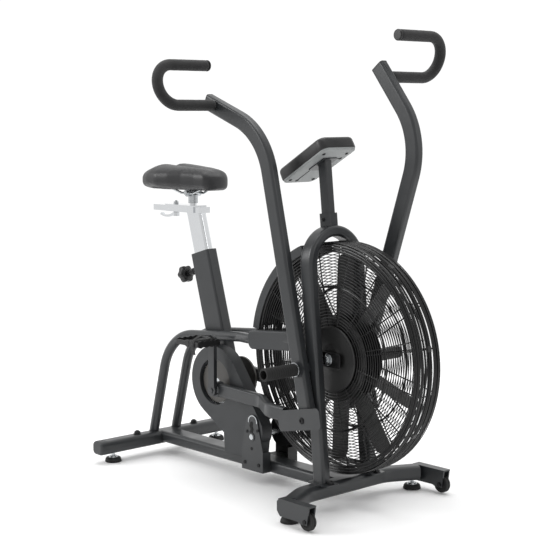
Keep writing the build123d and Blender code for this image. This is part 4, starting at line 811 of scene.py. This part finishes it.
class AIRBIKE_OT_feet(Builder, bpy.types.Operator):
    """Build the levelling pads and the transport wheels"""
    bl_idname = "airbike.feet"
    bl_label = "Feet and wheels"

    def build(self, sizes, colours):
        low, high = box_mm("foot_pads")
        places = [(low[0] + 26, -210), (low[0] + 26, 210), (high[0] - 26, -243), (high[0] - 26, 243)]
        pads = []
        for x, y in places:
            profile = [(0, 0), (24.6, 0), (26, 1.2), (26, 3.4), (25, 4), (25, 5.2), (25.2, 6),
                       (23.4, 11.4), (21.8, 13.4), (20, 14), (0, 14)]
            pads.append(turned(profile, (x, y, 0), Z, 48))
        piece("rubber_pads", pads, MATERIALS["rubber"], "frame", ("foot_pads",), 30)
        for side, tag in SIDES:
            at = JOINTS[f"wheel_{tag}_spin"] * (1, 0, 1)
            inner, outer = sorted(abs(v[1]) for v in box_mm(f"transport_wheel_{tag}"))
            mid = (inner + outer) / 2
            r = 25
            tyre = [(15, mid - 7), (21, inner), (23.6, inner + 0.6), (r, inner + 3), (r, mid - 1.6),
                    (r - 1.4, mid - 0.8), (r - 1.4, mid + 0.8), (r, mid + 1.6), (r, outer - 3),
                    (23.6, outer - 0.6), (21, outer), (15, mid + 7)]
            hub = [(4.1, inner), (8, inner), (8.6, inner + 1), (8.6, inner + 2.6), (15.2, inner + 3.4),
                   (15.2, outer - 3.4), (8.6, outer - 2.6), (8.6, outer - 1), (8, outer), (4.1, outer)]
            shapes = [turned([(a, side * y) for a, y in profile], at, Y, 48) for profile in (tyre, hub)]
            piece(f"caster_{tag}", shapes, MATERIALS["rubber"], f"wheel_{tag}",
                  (f"transport_wheel_{tag}",), 30)


class AIRBIKE_OT_fasteners(Builder, bpy.types.Operator):
    """Build the bolts, nuts and screws of the frame, black and zinc plated"""
    bl_idname = "airbike.fasteners"
    bl_label = "Fasteners"

    def build(self, sizes, colours):
        black, bright = [], []
        for side, tag in SIDES:
            black += screw((REAR_X, side * 115, STAB_TOP), Z, 17, 7, 2)
            black += screw((297, side * 92, STAB_TOP + 4), Z, 15, 6, 2)
            black += screw((WHEEL[0], side * 280, WHEEL[2]), Y * side, 12, 2.4, 0, False)
            black += screw((WHEEL[0], side * 253, WHEEL[2]), -Y * side, 12, 4.5, 0, False)
            shaft = [(0, 253), (3.9, 253), (3.9, 280), (0, 280)]
            bright.append(turned([(r, side * y) for r, y in shaft], WHEEL * (1, 0, 1), Y, 20))
            y = 56.5 if tag == "right" else 74.0
            black.append(block((88, 42, 6), (FAN[0] + 2, side * y, FAN[2]), X, Z, 0.8, 8))
        black.append(block((22, 34, 17.4), (FAN[0] - 30.4, -68.2, FAN[2]), X, Z, 0.5, 3))
        ring = [(8.05, 0), (16, 0), (16, 1), (15.4, 1.5), (8.05, 1.5)]
        nut_at = FAN * (1, 0, 1) - Y * 59.5
        bright.append(turned(ring, nut_at, -Y, 32))
        bright += screw(nut_at - Y * 1.5, -Y, 23, 8, 0, False)
        for x, z, across in ((-77, 154, 9), (-32, 162, 9), (-87.5, 60, 11), (-27.5, 60, 11)):
            black += screw((x, -65.5, z), -Y, across, 2.2, 0, False)
        for x, y in ((-80, -44), (-80, 44), (72, -44), (72, 44)):
            at = CONSOLE_AT + CONSOLE_X * x + Y * y - CONSOLE_N * 0.6
            head = [(0, 0), (4, 0), (3.8, 1.0), (2.4, 1.5), (1.2, 1.5), (1.1, 0.8), (0, 0.8)]
            black.append(turned(head, at, -CONSOLE_N, 20))
        mast = box_mm("console_mast")
        socket_y = 17.0
        black += screw((middle("console_mast")[0] + 14, -socket_y, mast[0][2] + 16), -Y, 10, 3)
        for side, tag in SIDES:
            low, high = box_mm(f"link_hardware_{tag}")
            pin = JOINTS[f"link_{tag}_pivot"] * (1, 0, 1)
            bush = [(8.1, 69), (12, 69), (12, 91.2), (16, 91.2), (16, 93.4), (15, 94.4), (8.1, 94.4)]
            piece(f"link_ring_{tag}", [turned([(r, side * y) for r, y in bush], pin, Y, 40)],
                  MATERIALS["zinc_plate"], f"link_{tag}", (f"link_hardware_{tag}",))
            end = (high[0] - 12, side * 152, low[2] + 12)
            head = [(0, -9), (8, -9), (8, 0), (9.5, 0), (9.5, 1.2), (7.6, 3.2), (4.2, 3.7), (4, 1.6),
                    (0, 1.6)]
            piece(f"link_bolt_{tag}", [turned(head, end, Y * side, 32)], MATERIALS["black_oxide"],
                  f"link_{tag}")
        piece("black_bolts", black, MATERIALS["black_oxide"], "frame", ("frame_bolts",))
        piece("bright_bolts", bright, MATERIALS["zinc_plate"], "frame")


class AIRBIKE_OT_tower(Builder, bpy.types.Operator):
    """Build the dressing of the jackshaft tower and the chain case"""
    bl_idname = "airbike.tower"
    bl_label = "Tower and case details"

    def build(self, sizes, colours):
        face = -65.5
        arc = [(JACK[0] + 5 + 18 * cos(a), face - 1.0, 186 + 18 * sin(a))
               for a in np.linspace(radians(-10), radians(190), 30)]
        bright = [sweep(arc, ellipse(1.9, 1.0, 10), side=X)]
        piece("tower_ring", bright, MATERIALS["zinc_plate"], "frame")
        # Painted shade: a near-black sheet in the shape of the tower's slot, and a small dark disc lower
        # down, stand in for the shade inside these openings.
        slot = [(JACK[0] + x, z) for x, z in ((-7, 182), (-9, 172), (-4, 163), (-8, 152), (-4, 146),
                                              (3, 147), (4, 155), (8, 163), (4, 172), (6, 182), (0, 187))]
        dark = [plate(slot, (0, face - 0.5, 0), X, Z, 0.5)]
        dark.append(turned([(0, 0), (5, 0), (5, 0.5), (0, 0.5)], (JACK[0], face, 105), -Y, 20))
        piece("tower_slot", dark, MATERIALS["shadow_gap"], "frame")


class AIRBIKE_OT_stage(Builder, bpy.types.Operator):
    """Set up the pale floor, the soft lights and the camera"""
    bl_idname = "airbike.stage"
    bl_label = "Studio"

    def build(self, sizes, colours):
        scene = bpy.context.scene
        mesh = bpy.data.meshes.new("floor")
        mesh.from_pydata([(2.3 * cos(pi * i / 32), 2.3 * sin(pi * i / 32), 0) for i in range(64)], [],
                         [tuple(range(64))])
        mesh.materials.append(finish_of("studio_floor", tuple(colours.floor), 0.9, grain=400, depth=0.0,
                                        mottle=0.0, patch=4000))
        floor = bpy.data.objects.new("floor", mesh)
        floor.location.z = -0.0004
        scene.collection.objects.link(floor)
        world = bpy.data.worlds.new("studio")
        world.use_nodes = True
        tree = world.node_tree
        # A white wall behind the bike, and a dimmer room in front of it.
        facing = node(tree, "ShaderNodeVectorMath",
                      {0: node(tree, "ShaderNodeTexCoord").outputs["Generated"], 1: (-0.68, 0.73, 0.15)},
                      operation="DOT_PRODUCT")
        level = node(tree, "ShaderNodeMapRange", {"Value": facing.outputs["Value"], "From Min": -0.4,
                                                  "From Max": 0.55, "To Min": 0.72, "To Max": 1.05})
        back = tree.nodes["Background"]
        back.inputs["Color"].default_value = (1, 1, 1, 1)
        tree.links.new(level.outputs[0], back.inputs["Strength"])
        scene.world = world
        scene.view_settings.view_transform = "Standard"
        lights = (("key", (-2.4, -3.2, 2.4), 1.6, 62), ("top", (-0.3, 0.2, 4.2), 3.0, 70),
                  ("front", (3.8, 1.4, 2.2), 1.4, 12))
        for name, place, size, power in lights:
            lamp = bpy.data.lights.new(name, "AREA")
            lamp.size, lamp.energy = size, power
            made = bpy.data.objects.new(name, lamp)
            made.location = place
            aim = Vector((0, 0, 0.5)) - Vector(place)
            made.rotation_euler = aim.to_track_quat("-Z", "Y").to_euler()
            scene.collection.objects.link(made)
        turn, drop = radians(47.204), radians(7.032)
        lens = bpy.data.cameras.new("camera")
        lens.sensor_width, lens.lens = 36, 87.69
        lens.clip_end = 100
        camera = bpy.data.objects.new("camera", lens)
        camera.location = (2.8631, -2.6568, 1.0841)
        look = Vector((-sin(turn) * cos(drop), cos(turn) * cos(drop), -sin(drop)))
        camera.rotation_euler = look.to_track_quat("-Z", "Y").to_euler()
        scene.collection.objects.link(camera)
        scene.camera = camera


STEPS = ("finishes", "cage", "fan", "saddle", "grips", "pedals", "knob", "console", "pegs", "feet",
         "fasteners", "tower", "stage")


class AIRBIKE_PT_panel(bpy.types.Panel):
    """Lists the bike's pieces, sizes and colours"""
    bl_label = "Air bike"
    bl_idname = "AIRBIKE_PT_panel"
    bl_space_type = "VIEW_3D"
    bl_region_type = "UI"
    bl_category = "Air bike"

    def draw(self, context):
        for step in STEPS:
            self.layout.operator(f"airbike.{step}")
        for group in (context.scene.air_bike_sizes, context.scene.air_bike_colours):
            for key in group.__annotations__:
                self.layout.prop(group, key)


CLASSES = (AirBikeSizes, AirBikeColours, AIRBIKE_OT_finishes, AIRBIKE_OT_cage, AIRBIKE_OT_fan,
           AIRBIKE_OT_saddle, AIRBIKE_OT_grips, AIRBIKE_OT_pedals, AIRBIKE_OT_knob, AIRBIKE_OT_console,
           AIRBIKE_OT_pegs, AIRBIKE_OT_feet, AIRBIKE_OT_fasteners, AIRBIKE_OT_tower, AIRBIKE_OT_stage,
           AIRBIKE_PT_panel)


def register():
    for cls in CLASSES:
        bpy.utils.register_class(cls)
    bpy.types.Scene.air_bike_sizes = PointerProperty(type=AirBikeSizes)
    bpy.types.Scene.air_bike_colours = PointerProperty(type=AirBikeColours)


def unregister():
    del bpy.types.Scene.air_bike_colours
    del bpy.types.Scene.air_bike_sizes
    for cls in reversed(CLASSES):
        bpy.utils.unregister_class(cls)


def main():
    """Build every piece in order."""
    register()
    for step in STEPS:
        getattr(bpy.ops.airbike, step)()


if __name__ == "__main__":
    main()
